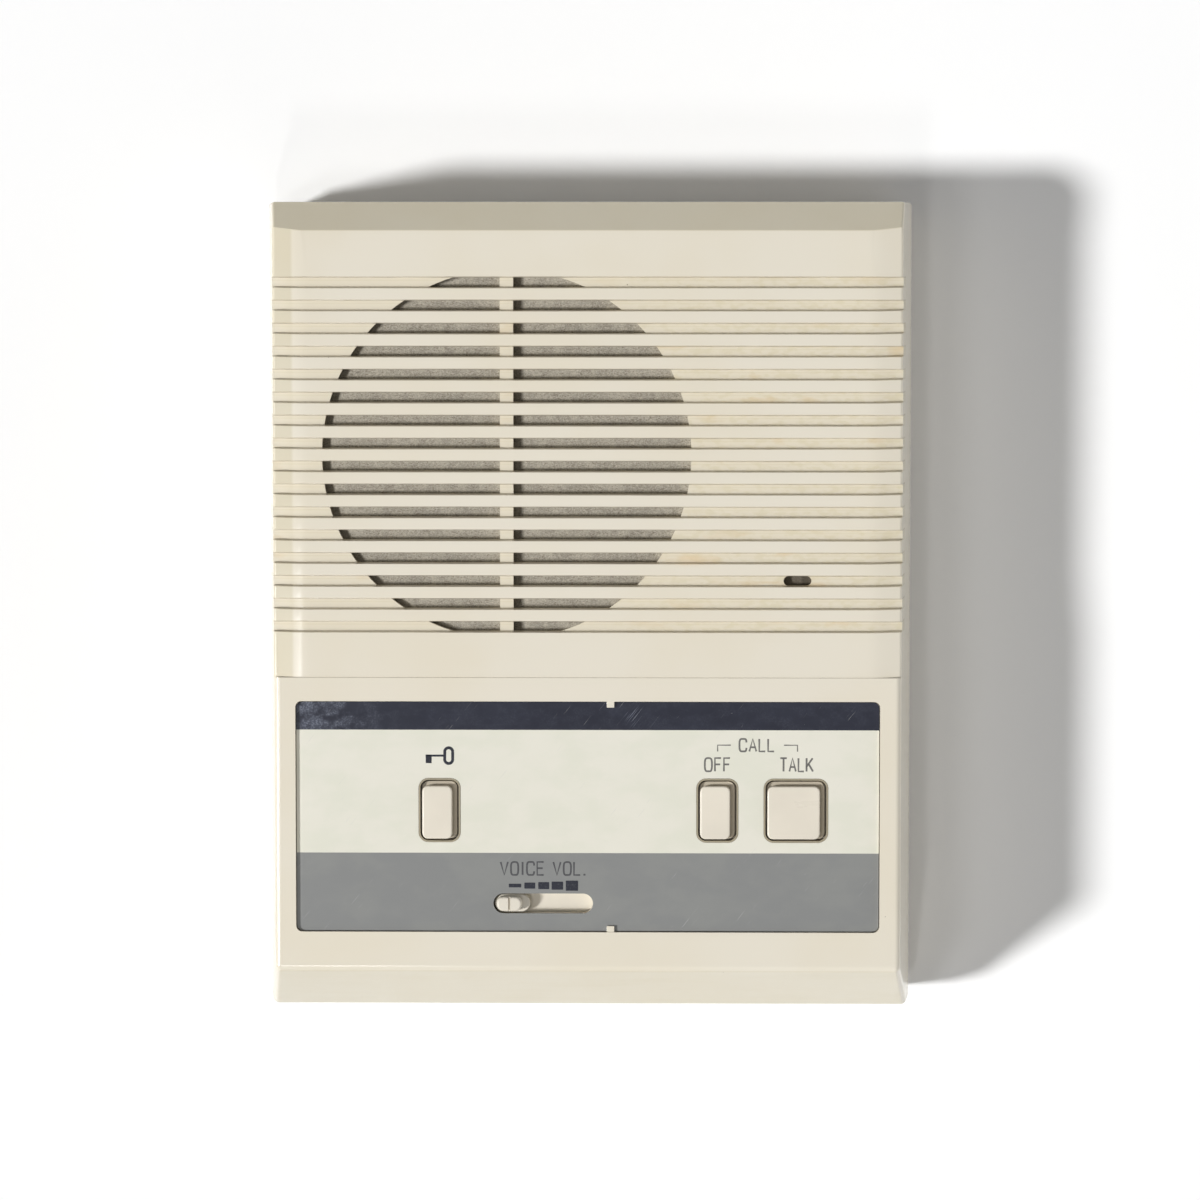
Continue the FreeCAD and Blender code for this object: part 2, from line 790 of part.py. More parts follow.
# ---------------------------------------------------------------- buttons
def button(x, well_width):
    """Cap, flange and stem in one moulding."""
    cap_width = well_width - 2 * button_gap
    cap_height = well_height - 2 * button_gap
    top = label_z + button_rise
    cap_corner = well_corner - button_gap
    cap = rounded_block(x, button_y, cap_width, cap_height, cap_corner, flange_top_z, top)
    rim = [edge for edge in cap.Edges if abs(edge.BoundBox.ZMin - top) < 1e-6]
    cap = cap.makeChamfer(button_slope, rim)
    flange_width = well_width + 2 * flange_overlap
    flange_height = well_height + 2 * flange_overlap
    corner = well_corner + flange_overlap
    flange = rounded_block(x, button_y, flange_width, flange_height, corner, flange_bottom_z, flange_top_z)
    stem = disc(x, button_y, stem_radius, plunger_top_z, flange_bottom_z)
    return cap.fuse([flange, stem]).removeSplitter()


def plunger(x):
    """Pin that the button pushes into its switch."""
    return disc(x, button_y, plunger_radius, switch_top_z - plunger_hold, plunger_top_z)


def switch_body(x):
    """Housing of a push switch with the bore that guides its plunger."""
    solid = rounded_block(x, button_y, switch_size, switch_size, switch_corner, board_top_z, switch_top_z)
    bore_bottom = switch_top_z - plunger_hold - button_travel - rest_gap
    return solid.cut(disc(x, button_y, plunger_radius + plunger_gap, bore_bottom, switch_top_z + PAST))


def return_spring(x):
    """Coil spring between the switch and the button's flange."""
    low = switch_top_z + spring_seat_gap + spring_wire_radius
    high = flange_bottom_z - spring_seat_gap - spring_wire_radius
    count = spring_turns * COIL_POINTS
    points = []
    for i in range(count + 1):
        angle = 2 * math.pi * i / COIL_POINTS
        reach_x = spring_mean_radius * math.cos(angle)
        reach_y = spring_mean_radius * math.sin(angle)
        points.append(V(x + reach_x, button_y + reach_y, low + (high - low) * i / count))
    return wire(points, spring_wire_radius)


# ---------------------------------------------------------------- volume slider
def volume_knob():
    """Ribbed grip on a base that fills the slot, with a shutter strip behind the face and a fork."""
    base_top = label_z - slider_top_drop
    base = obround(slider_x, slot_y, slider_length, slider_width, shutter_bottom_z, base_top)
    grip_x = slider_x + grip_offset
    ellipse = Part.Ellipse(V(0, 0, 0), grip_length / 2, grip_width / 2)
    grip = Part.Face(Part.Wire(ellipse.toShape())).extrude(V(0, 0, grip_height))
    rim = [edge for edge in grip.Edges if abs(edge.BoundBox.ZMin - grip_height) < 1e-6]
    grip = grip.makeFillet(grip_index_width, rim)
    grip.translate(V(grip_x, slot_y, base_top))
    x0 = slot_x - slot_length / 2 - volume_travel - shutter_overlap
    x1 = slot_x + slot_length / 2 + shutter_overlap
    y0 = slot_y - shutter_half_width
    y1 = slot_y + shutter_half_width
    strip = block(x0, x1, y0, y1, shutter_bottom_z, shutter_top_z)
    fork_length = lever_length + 2 * (lever_gap + fork_wall)
    fork_width = lever_thickness + 2 * (lever_gap + fork_wall)
    fork_bottom = shutter_bottom_z - fork_drop
    fork = centred_block(slider_x, slot_y, fork_length, fork_width, fork_bottom, shutter_bottom_z)
    solid = base.fuse([grip, strip, fork]).removeSplitter()
    pocket_length = lever_length + 2 * lever_gap
    pocket_width = lever_thickness + 2 * lever_gap
    pocket_top = shutter_bottom_z - rest_gap
    pocket = centred_block(slider_x, slot_y, pocket_length, pocket_width, fork_bottom, pocket_top)
    top = base_top + grip_height
    index = centred_block(grip_x, slot_y, grip_index_width, grip_width, top - grip_index_width, top)
    return solid.cut([pocket, index])


def volume_lever():
    """Lever of the slide potentiometer, which the knob's fork carries along."""
    top = shutter_bottom_z - 2 * rest_gap
    bottom = track_top_z - track_height / 2
    return centred_block(slider_x, slot_y, lever_length, lever_thickness, bottom, top)


def volume_track():
    """Body of the slide potentiometer, slotted along its top."""
    solid = centred_block(slot_x, slot_y, track_length, track_width, board_top_z, track_top_z)
    slot = volume_travel + lever_length + 2 * track_slot_gap
    floor = track_top_z - track_height / 2 - rest_gap
    slot_width = lever_thickness + 2 * rest_gap
    return solid.cut(centred_block(slot_x, slot_y, slot, slot_width, floor, track_top_z + PAST))


# ---------------------------------------------------------------- loudspeaker
def speaker_cloth():
    return disc(speaker_x, speaker_y, grille_radius + cloth_margin, cloth_z, inner_face_z)


def speaker_gasket():
    return ring(speaker_x, speaker_y, speaker_radius, speaker_radius - gasket_width, rim_top_z, cloth_z)


def speaker_basket():
    """Pressed steel basket: flat rim, windowed cone and neck."""
    inner = speaker_radius - rim_width
    outline = [
        (speaker_radius, rim_bottom_z),
        (speaker_radius, rim_top_z),
        (inner, rim_top_z),
        (basket_neck_radius, neck_z),
        (coil_radius + pole_gap, neck_z),
        (coil_radius + pole_gap, neck_z - basket_wall),
        (basket_neck_radius + basket_wall, neck_z - basket_wall),
        (inner + basket_wall, rim_bottom_z),
    ]
    solid = turned(speaker_x, speaker_y, outline)
    low = neck_z + basket_window_margin
    high = rim_bottom_z - basket_window_margin
    half = basket_window_width / 2
    window = block(0, speaker_radius, -half, half, low, high)
    for i in range(basket_window_count):
        cutter = window.copy()
        cutter.rotate(V(0, 0, 0), V(0, 0, 1), i * 360 / basket_window_count)
        cutter.translate(V(speaker_x, speaker_y, 0))
        solid = solid.cut(cutter)
    return solid


def cone_foot_z():
    """Height at which the cone meets the voice coil."""
    return rim_top_z - cone_depth


def speaker_cone():
    """Paper cone with a rolled surround and the voice coil's former."""
    inner_rim = speaker_radius - gasket_width
    outer = inner_rim - rest_gap
    shoulder = outer - rim_width
    foot = cone_foot_z()
    outline = [
        (outer, rim_top_z),
        (outer, rim_top_z + cone_thickness),
        (shoulder, rim_top_z + cone_thickness),
        (coil_radius, foot + cone_thickness),
        (coil_radius, foot - coil_length),
        (coil_radius + coil_wall, foot - coil_length),
        (coil_radius + coil_wall, foot),
        (shoulder, rim_top_z),
    ]
    return turned(speaker_x, speaker_y, outline)


def speaker_dust_cap():
    """Domed cap over the voice coil, glued to the cone."""
    foot = cone_foot_z()
    slope = cone_depth / (speaker_radius - gasket_width - rest_gap - rim_width - coil_radius)
    seat = foot + cone_thickness + (dust_cap_radius - coil_radius) * slope
    sphere_radius = (dust_cap_radius ** 2 + dust_cap_rise ** 2) / (2 * dust_cap_rise)
    centre = V(speaker_x, speaker_y, seat + dust_cap_rise - sphere_radius)
    inside = Part.makeSphere(sphere_radius - cone_thickness, centre)
    shell = Part.makeSphere(sphere_radius, centre).cut(inside)
    return shell.common(disc(speaker_x, speaker_y, 2 * dust_cap_radius, seat, seat + 2 * dust_cap_rise))


def speaker_front_plate():
    top = neck_z - basket_wall
    bore = coil_radius + pole_gap
    return ring(speaker_x, speaker_y, front_plate_radius, bore, magnet_top_z, top)


def speaker_magnet():
    return ring(speaker_x, speaker_y, magnet_radius, magnet_bore_radius, magnet_bottom_z, magnet_top_z)


def speaker_yoke():
    """Back plate with the pole that stands in the voice coil."""
    plate = disc(speaker_x, speaker_y, front_plate_radius, yoke_bottom_z, magnet_bottom_z)
    pole = disc(speaker_x, speaker_y, pole_radius, magnet_bottom_z, neck_z)
    return plate.fuse(pole).removeSplitter()


def speaker_terminals():
    """Insulating strip under the basket's rim with two solder lugs."""
    depth = rim_width - basket_wall - 2 * rest_gap
    strip_bottom = rim_bottom_z - strip_thickness
    solid = centred_block(speaker_x, strip_y, strip_length, depth, strip_bottom, rim_bottom_z)
    for side in (-1, 1):
        x = speaker_x + side * strip_length / 4
        solid = solid.fuse(centred_block(x, strip_y, lug_width, lug_thickness, lug_bottom_z, strip_bottom))
    return solid.removeSplitter()


def speaker_clamps():
    """Steel tongues that press the basket's rim to the case."""
    tail = post_radius + clamp_tail
    reach = post_radius + clamp_post_gap + clamp_hold
    half = clamp_width / 2
    low = rim_bottom_z - clamp_thickness
    clamps = []
    for x, y, angle in clamp_places():
        tongue = block(-reach, tail, -half, half, low, rim_bottom_z)
        tongue = tongue.cut(disc(0, 0, screw_radius + 2 * screw_gap, low - PAST, rim_bottom_z + PAST))
        tongue.rotate(V(0, 0, 0), V(0, 0, 1), angle)
        tongue.translate(V(x, y, 0))
        clamps.append(tongue)
    return group(clamps)


def clamp_screws():
    head_z = rim_bottom_z - clamp_thickness - screw_head_height
    length = clamp_thickness + clamp_screw_length
    return group([small_screw(x, y, head_z, length) for x, y, _ in clamp_places()])


# ---------------------------------------------------------------- microphone
def microphone_cloth():
    length = microphone_hole_length + 2 * microphone_cloth_margin
    height = groove_floor_height + 2 * microphone_cloth_margin
    return centred_block(microphone_x, microphone_y, length, height, cloth_z, inner_face_z)


def microphone_boot():
    """Rubber sleeve that stands on the board and holds the capsule against the cloth."""
    solid = disc(microphone_x, microphone_y, boot_radius, board_top_z, cloth_z)
    floor = cloth_z - capsule_height - rest_gap
    return solid.cut(disc(microphone_x, microphone_y, capsule_radius + capsule_gap, floor, cloth_z + PAST))


def microphone_capsule():
    """Capsule with a ring of small holes in its front."""
    bottom = cloth_z - capsule_height - rest_gap
    top = bottom + capsule_height
    solid = disc(microphone_x, microphone_y, capsule_radius, bottom, top)
    for i in range(capsule_hole_count):
        angle = 2 * math.pi * i / capsule_hole_count
        x = microphone_x + capsule_radius / 2 * math.cos(angle)
        y = microphone_y + capsule_radius / 2 * math.sin(angle)
        solid = solid.cut(disc(x, y, capsule_hole_radius, top - capsule_hole_depth, top))
    return solid


# ---------------------------------------------------------------- board and what stands on it
def main_board():
    """L-shaped circuit board: a wide lower part and a column beside the speaker."""
    z0 = board_bottom_z
    z1 = board_top_z
    lower = block(-board_half_width, board_half_width, board_low_y, board_mid_y, z0, z1)
    column = block(board_column_x, board_half_width, board_low_y, board_high_y, z0, z1)
    solid = lower.fuse(column).removeSplitter()
    holes = [disc(x, y, screw_radius + board_hole_gap, z0 - PAST, z1 + PAST) for x, y in BOARD_POSTS]
    return solid.cut(holes)


def board_screws():
    head_z = board_bottom_z - screw_head_height
    return group([small_screw(x, y, head_z, screw_length) for x, y in BOARD_POSTS])


def on_board(x, y, width, height, rise):
    """Block that stands on the board's upper side."""
    return centred_block(x, y, width, height, board_top_z, board_top_z + rise)


def transformer_core():
    """Stack of iron sheets with two windows for the winding."""
    solid = on_board(transformer_x, transformer_y, transformer_width, transformer_stack, transformer_height)
    low = board_top_z + transformer_yoke
    high = board_top_z + transformer_height - transformer_yoke
    for side in (-1, 1):
        x = transformer_x + side * (transformer_leg + transformer_window) / 2
        window = centred_block(x, transformer_y, transformer_window, 2 * transformer_stack, low, high)
        solid = solid.cut(window)
    return solid


def transformer_coil():
    """Wound bobbin on the middle leg of the core."""
    low = board_top_z + transformer_yoke + winding_gap
    high = board_top_z + transformer_height - transformer_yoke - winding_gap
    width = transformer_leg + 2 * (transformer_window - winding_gap)
    depth = transformer_stack + 2 * winding_overhang
    solid = centred_block(transformer_x, transformer_y, width, depth, low, high)
    leg_width = transformer_leg + 2 * winding_gap
    leg_depth = transformer_stack + 2 * winding_gap
    leg = centred_block(transformer_x, transformer_y, leg_width, leg_depth, low - PAST, high + PAST)
    return solid.cut(leg)


def amplifier_chip():
    """Dual in-line chip with its legs."""
    low = board_top_z + chip_stand
    solid = centred_block(chip_x, chip_y, chip_length, chip_width, low, low + chip_thickness)
    for i in range(chip_leg_count):
        x = chip_x + (i - (chip_leg_count - 1) / 2) * chip_leg_pitch
        for side in (-1, 1):
            leg_y = chip_y + side * (chip_width + chip_leg_width) / 2
            height = chip_stand + chip_thickness / 2
            solid = solid.fuse(on_board(x, leg_y, chip_leg_width, chip_leg_width, height))
    return solid.removeSplitter()


def filter_capacitors():
    """Upright electrolytic capacitors."""
    y = board_mid_y - filter_from_edge
    top = board_top_z + filter_height
    solids = []
    for i in range(filter_count):
        solids.append(disc(filter_x + i * filter_pitch, y, filter_radius, board_top_z, top))
    return group(solids)


def ceramic_capacitors():
    """Disc capacitors that stand on edge in the board's column."""
    x = board_column_x + ceramic_from_column_edge
    discs = []
    for i in range(ceramic_count):
        y = board_mid_y + column_row_from_edge + i * ceramic_pitch
        centre = V(x, y, board_top_z + ceramic_radius)
        discs.append(Part.makeCylinder(ceramic_radius, ceramic_thickness, centre, V(1, 0, 0)))
    return group(discs)


def resistors():
    """Row of axial resistors lying on the board in line with the volume track."""
    rows = []
    for i in range(resistor_count):
        x = track_end_x + resistor_track_gap + i * resistor_pitch
        start = V(x, slot_y, board_top_z + resistor_radius)
        rows.append(Part.makeCylinder(resistor_radius, resistor_length, start, V(1, 0, 0)))
    return group(rows)


def transistors():
    """Upright transistors with a flat front."""
    x = board_column_x + transistor_from_column_edge
    size = 2 * transistor_radius
    solids = []
    for i in range(transistor_count):
        y = board_mid_y + column_row_from_edge + i * transistor_pitch
        body = disc(x, y, transistor_radius, board_top_z, board_top_z + transistor_height)
        front = y - transistor_radius / 2
        solids.append(body.cut(block(x - size, x + size, front - size, front, board_bottom_z, face_z)))
    return group(solids)


def diodes():
    """Small glass diodes beside the chip."""
    rows = []
    x = chip_x + chip_length / 2 + diode_chip_gap
    for i in range(diode_count):
        y = chip_y + (i - (diode_count - 1) / 2) * diode_pitch
        start = V(x, y, board_top_z + diode_radius)
        rows.append(Part.makeCylinder(diode_radius, diode_length, start, V(1, 0, 0)))
    return group(rows)


def terminal_x(i):
    """Middle of one clamp of the terminal block."""
    return (i - (terminal_count - 1) / 2) * terminal_pitch


def terminal_block():
    """Screw terminal block under the board, behind the rear window."""
    width = terminal_count * terminal_pitch + terminal_barrier
    low = board_bottom_z - terminal_height
    solid = centred_block(0, terminal_y, width, terminal_depth, low, board_bottom_z)
    pocket_width = terminal_pitch - terminal_barrier
    pocket_depth = terminal_depth - 2 * terminal_barrier
    pocket_top = low + terminal_pocket
    for i in range(terminal_count):
        x = terminal_x(i)
        solid = solid.cut(centred_block(x, terminal_y, pocket_width, pocket_depth, low - PAST, pocket_top))
    return solid


def terminal_screws():
    """Slotted clamp screws, one in each pocket of the terminal block."""
    top = board_bottom_z - terminal_height + terminal_pocket
    bottom = top - terminal_screw_height
    screws = []
    for i in range(terminal_count):
        x = terminal_x(i)
        head = disc(x, terminal_y, terminal_screw_radius, bottom, top)
        slot_top = bottom + terminal_slot
        slot = centred_block(x, terminal_y, 2 * terminal_screw_radius, terminal_slot, bottom, slot_top)
        screws.append(head.cut(slot))
    return group(screws)


# ---------------------------------------------------------------- speaker wires
def speaker_wires():
    """Two insulated wires from the speaker's lugs over the edge of the board."""
    wires = []
    for side in (-1, 1):
        x = speaker_x + side * strip_length / 4
        points = [
            V(x, strip_y, lug_bottom_z),
            V(x, strip_y, lug_bottom_z - wire_drop),
            V(x, board_mid_y - wire_landing, board_top_z + wire_drop),
            V(x, board_mid_y - wire_landing, board_top_z),
        ]
        wires.append(wire(points, wire_radius))
    return group(wires)


# ---------------------------------------------------------------- all pieces
def all_parts():
    parts = {
        "front_case": front_case(),
        "rear_case": rear_case(),
        "rubber_feet": rubber_feet(),
        "case_screws": case_screws(),
        "label_plate": label_plate(),
        "speaker_cloth": speaker_cloth(),
        "speaker_gasket": speaker_gasket(),
        "speaker_basket": speaker_basket(),
        "speaker_cone": speaker_cone(),
        "speaker_dust_cap": speaker_dust_cap(),
        "speaker_front_plate": speaker_front_plate(),
        "speaker_magnet": speaker_magnet(),
        "speaker_yoke": speaker_yoke(),
        "speaker_terminals": speaker_terminals(),
        "speaker_clamps": speaker_clamps(),
        "speaker_clamp_screws": clamp_screws(),
        "speaker_wires": speaker_wires(),
        "microphone_cloth": microphone_cloth(),
        "microphone_boot": microphone_boot(),
        "microphone_capsule": microphone_capsule(),
        "main_board": main_board(),
        "board_screws": board_screws(),
        "transformer_core": transformer_core(),
        "transformer_coil": transformer_coil(),
        "amplifier_chip": amplifier_chip(),
        "filter_capacitors": filter_capacitors(),
        "ceramic_capacitors": ceramic_capacitors(),
        "resistors": resistors(),
        "transistors": transistors(),
        "diodes": diodes(),
        "terminal_block": terminal_block(),
        "terminal_screws": terminal_screws(),
        "volume_track": volume_track(),
        "volume_lever": volume_lever(),
        "volume_knob": volume_knob(),
    }
    for name, (x, well_width) in BUTTONS.items():
        parts[name + "_button"] = button(x, well_width)
        parts[name + "_plunger"] = plunger(x)
        parts[name + "_spring"] = return_spring(x)
        parts[name + "_switch"] = switch_body(x)
    return parts


os.makedirs("parts", exist_ok=True)
for node, shape in all_parts().items():
    shape.exportStep("parts/" + node + ".step")
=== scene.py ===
"""Desk intercom master station: the modelled pieces and finishes that dress its construction."""

import logging
import math
from collections.abc import Callable, Sequence
from dataclasses import dataclass
from enum import Enum
from typing import ClassVar

import bmesh
import bpy
from mathutils import Matrix, Vector


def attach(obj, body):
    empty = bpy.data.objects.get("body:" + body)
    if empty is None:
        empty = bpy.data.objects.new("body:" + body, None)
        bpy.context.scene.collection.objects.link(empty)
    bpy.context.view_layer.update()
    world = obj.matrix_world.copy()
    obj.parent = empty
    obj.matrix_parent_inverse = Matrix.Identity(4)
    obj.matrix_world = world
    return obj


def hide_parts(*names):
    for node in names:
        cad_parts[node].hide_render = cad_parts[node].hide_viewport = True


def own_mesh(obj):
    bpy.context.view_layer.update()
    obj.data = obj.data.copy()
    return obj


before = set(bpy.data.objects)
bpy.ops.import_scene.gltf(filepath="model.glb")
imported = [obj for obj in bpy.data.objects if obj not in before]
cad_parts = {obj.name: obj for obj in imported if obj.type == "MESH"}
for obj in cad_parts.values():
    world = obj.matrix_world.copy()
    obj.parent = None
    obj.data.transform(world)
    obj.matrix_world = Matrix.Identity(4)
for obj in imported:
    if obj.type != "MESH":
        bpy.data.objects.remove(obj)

LOG = logging.getLogger("intercom")
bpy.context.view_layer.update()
MM = 0.001

Colour = tuple[float, float, float, float]
Pair = tuple[float, float]
Place = tuple[float, float, float]

# Places on the face that several classes share: the row of the keys, the middle and width of
# each key's well, and the middles of the loudspeaker and the microphone.
KEY_ROW = -48.45
KEY_WELLS: dict[str, Pair] = {"door": (-36.2, 9.4), "off": (31.75, 9.4), "talk": (50.95, 14.9)}
SPEAKER_MIDDLE: Pair = (-19.7, 38.525)
MICROPHONE_MIDDLE: Pair = (51.2, 7.78)


def paint(red: float, green: float, blue: float) -> Colour:
    """Linear colour of a screen colour whose channels run from 0 to 255.

    Args:
        red: Red channel.
        green: Green channel.
        blue: Blue channel.

    Returns:
        Linear red, green, blue and an alpha of 1.
    """
    shares = [channel / 255 for channel in (red, green, blue)]
    linear = [s / 12.92 if s <= 0.04045 else ((s + 0.055) / 1.055) ** 2.4 for s in shares]
    return (linear[0], linear[1], linear[2], 1.0)


def shade(colour: Colour, factor: float, lift: float = 0.0) -> Colour:
    """Colour with its channels multiplied by a factor, lifted and held at 1."""
    return tuple(min(1.0, channel * factor + lift) for channel in colour[:3]) + (1.0,)


# ------------------------------------------------------------------ shader expressions
def _operator(operation: str, turned: bool = False) -> Callable[..., "Value"]:
    """Makes a method of Value.

    Args:
        operation: Operation of its Math node.
        turned: Whether the value comes after the other term.

    Returns:
        The method, which adds the node and returns its result.
    """

    def method(value: "Value", *others: "Value | float") -> "Value":
        """Adds the node.

        Args:
            value: The value whose method it is.
            others: The other terms of the operation.

        Returns:
            The result.
        """
        terms = (*others, value) if turned else (value, *others)
        made = value.recipe.node("ShaderNodeMath", {"operation": operation}, dict(enumerate(terms)))
        return made["Value"]

    return method


class Value:
    """A node socket that is used in ordinary arithmetic, where each operation adds its Math node."""

    __add__, __radd__ = _operator("ADD"), _operator("ADD", turned=True)
    __sub__, __rsub__ = _operator("SUBTRACT"), _operator("SUBTRACT", turned=True)
    __mul__, __rmul__ = _operator("MULTIPLY"), _operator("MULTIPLY", turned=True)
    __truediv__, __pow__ = _operator("DIVIDE"), _operator("POWER")
    __gt__, __lt__ = _operator("GREATER_THAN"), _operator("LESS_THAN")
    __abs__, nearest = _operator("ABSOLUTE"), _operator("ROUND")
    most, least = _operator("MAXIMUM"), _operator("MINIMUM")
    wave, root, grown = _operator("SINE"), _operator("SQRT"), _operator("EXPONENT")

    def __init__(self, recipe: "Recipe", socket: bpy.types.NodeSocket) -> None:
        """Wraps a socket of a recipe."""
        self.recipe = recipe
        self.socket = socket

    def rise(self, low: float, high: float) -> "Value":
        """Smooth step.

        Args:
            low: Where the step is still 0.
            high: Where the step has reached 1.

        Returns:
            The step, from 0 to 1, or falling where low is the larger one.
        """
        start, end, first, last = (low, high, 0, 1) if low < high else (high, low, 1, 0)
        inputs = {"Value": self, "From Min": start, "From Max": end, "To Min": first, "To Max": last}
        settings = {"interpolation_type": "SMOOTHSTEP"}
        return self.recipe.node("ShaderNodeMapRange", settings, inputs)["Result"]

    def bell(self, centre: float, reach: float) -> "Value":
        """Soft bump of height 1 about a centre, faded out two reaches away."""
        away = (self - centre) / reach
        return (away * away * -1).grown()


class Outputs:
    """The outputs of a node, by name."""

    def __init__(self, recipe: "Recipe", node: bpy.types.Node) -> None:
        """Wraps a node of a recipe."""
        self.recipe = recipe
        self.made = node

    def __getitem__(self, name: str) -> Value:
        """Output of that name."""
        return Value(self.recipe, self.recipe.find(self.made.outputs, name))


class Recipe:
    """A material in the making. Places are in millimetres of the object's own frame."""

    def __init__(self, name: str, owner: bpy.types.World | None = None) -> None:
        """Starts with no nodes but those of the place.

        Args:
            name: Name of the material.
            owner: World whose nodes it makes, or None for a material.
        """
        self.material = owner or bpy.data.materials.new(name)
        self.material.use_nodes = True
        self.tree = self.material.node_tree
        self.tree.nodes.clear()
        self.coordinates = self.node("ShaderNodeTexCoord")
        scaling = {0: self.coordinates["Object"], 1: (1 / MM,) * 3}
        self.place = self.node("ShaderNodeVectorMath", {"operation": "MULTIPLY"}, scaling)["Vector"]
        parts = self.node("ShaderNodeSeparateXYZ", inputs={"Vector": self.place})
        self.x, self.y, self.z = parts["X"], parts["Y"], parts["Z"]

    @staticmethod
    def find(sockets: bpy.types.bpy_prop_collection, key: str | int) -> bpy.types.NodeSocket:
        """Finds a socket.

        Args:
            sockets: Sockets of a node.
            key: Its number, or its name or identifier.

        Returns:
            The socket, which is in use.
        """
        if isinstance(key, int):
            return sockets[key]
        return next(s for s in sockets if s.enabled and key in (s.identifier, s.name))

    def node(self, kind: str, settings: dict | None = None, inputs: dict | None = None) -> Outputs:
        """Adds a node.

        Args:
            kind: The node's type.
            settings: Its properties, set before its sockets; "stops" are a ramp's places and colours.
            inputs: Values or links of its sockets, by name or number.

        Returns:
            The node's outputs.
        """
        node = self.tree.nodes.new(kind)
        for key, setting in (settings or {}).items():
            if key != "stops":
                setattr(node, key, setting)
                continue
            elements = node.color_ramp.elements
            while len(elements) < len(setting):
                elements.new(1.0)
            for element, (position, colour) in zip(elements, setting):
                element.position = position
                element.color = colour
        for key, term in (inputs or {}).items():
            socket = self.find(node.inputs, key)
            if isinstance(term, Value):
                self.tree.links.new(term.socket, socket)
            else:
                socket.default_value = term
        return Outputs(self, node)

    def scaled(self, size: float, stretch: Sequence[float] = (1, 1, 1), shift: float = 0.0) -> Value:
        """Measures the place in units of a pattern.

        Args:
            size: Millimetres of a unit.
            stretch: Share of the size along each axis.
            shift: Moves the pattern.

        Returns:
            The place in those units.
        """
        factors = tuple(1 / (size * share) for share in stretch)
        inputs = {"Vector": self.place, "Scale": factors, "Location": (shift,) * 3}
        return self.node("ShaderNodeMapping", inputs=inputs)["Vector"]

    def noise(
        self, size: float, detail: float = 2.0, stretch: Sequence[float] = (1, 1, 1), shift: float = 0.0
    ) -> Value:
        """Cloudy noise.

        Args:
            size: Millimetres from one blotch to the next.
            detail: Number of finer layers.
            stretch: Share of the size along each axis.
            shift: Moves the pattern, so that two noises differ.

        Returns:
            The noise, mostly between 0.3 and 0.7.
        """
        place = self.scaled(size, stretch, shift)
        inputs = {"Vector": place, "Scale": 1.0, "Detail": detail}
        return self.node("ShaderNodeTexNoise", inputs=inputs)["Fac"]

    def specks(self, spacing: float, radius: float, share: float, shift: float = 0.0) -> Value:
        """Scattered round specks.

        Args:
            spacing: Millimetres from one possible speck to the next.
            radius: Millimetres of the largest speck.
            share: Share of the possible specks that are there.
            shift: Moves the pattern.

        Returns:
            1 inside a speck, 0 outside.
        """
        distance, tint = self.cells(spacing, shift)
        size = tint["Green"] * (radius / spacing)
        return (1 - (distance / size.most(0.001)).rise(0.6, 1.0)) * (tint["Red"] < share)

    def cells(self, spacing: float, shift: float = 0.0) -> tuple[Value, Outputs]:
        """Scattered cells.

        Args:
            spacing: Millimetres from one cell to the next.
            shift: Moves the pattern.

        Returns:
            Distance to the cell's middle, and the channels of the cell's random colour.
        """
        inputs = {"Vector": self.scaled(spacing, shift=shift), "Scale": 1.0}
        cells = self.node("ShaderNodeTexVoronoi", inputs=inputs)
        tint = self.node("ShaderNodeSeparateColor", inputs={"Color": cells["Color"]})
        return cells["Distance"], tint

    def chance(self, column: Value | float, row: Value | float) -> Value:
        """Random number from 0 to 1 that belongs to a cell of a grid."""
        cell = self.node("ShaderNodeCombineXYZ", inputs={"X": column, "Y": row})["Vector"]
        return self.node("ShaderNodeTexWhiteNoise", inputs={"Vector": cell})["Value"]

    def seen(self) -> Value:
        """1 for rays that the camera, a mirror or clear matter sends, otherwise 0."""
        ray = self.node("ShaderNodeLightPath")
        return (ray["Is Camera Ray"] + ray["Is Glossy Ray"] + ray["Is Transmission Ray"]).least(1.0)

    def mix(
        self, mask: Value | float, first: Value | Colour, second: Value | Colour, blend: str = "MIX"
    ) -> Value:
        """Lays a colour over another.

        Args:
            mask: 0 where the first shows, 1 where the second does.
            first: Colour below.
            second: Colour above.
            blend: How the second is blended in.

        Returns:
            The mixed colour.
        """
        settings = {"data_type": "RGBA", "blend_type": blend}
        inputs = {"Factor_Float": mask, "A_Color": first, "B_Color": second}
        return self.node("ShaderNodeMix", settings, inputs)["Result_Color"]

    def finish(
        self,
        colour: Value | Colour,
        roughness: Value | float,
        height: Value | None = None,
        metallic: float = 0.0,
        specular: float = 0.5,
        coat: float = 0.0,
        sheen: float = 0.0,
    ) -> None:
        """Closes the recipe with its surface.

        Args:
            colour: Base colour.
            roughness: Roughness.
            height: Relief in millimetres, or None for a smooth surface.
            metallic: 1 for bare metal.
            specular: Strength of the mirror reflection.
            coat: Strength of a clear coat.
            sheen: Strength of a cloth's sheen.
        """
        inputs = {
            "Base Color": colour,
            "Roughness": roughness,
            "Metallic": metallic,
            "Specular IOR Level": specular,
            "Coat Weight": coat,
            "Coat Roughness": 0.12,
            "Sheen Weight": sheen,
        }
        if height is not None:
            relief = {"Height": height, "Distance": MM, "Strength": 1.0}
            inputs["Normal"] = self.node("ShaderNodeBump", inputs=relief)["Normal"]
        shader = self.node("ShaderNodeBsdfPrincipled", inputs=inputs)["BSDF"]
        self.node("ShaderNodeOutputMaterial", inputs={"Surface": shader})


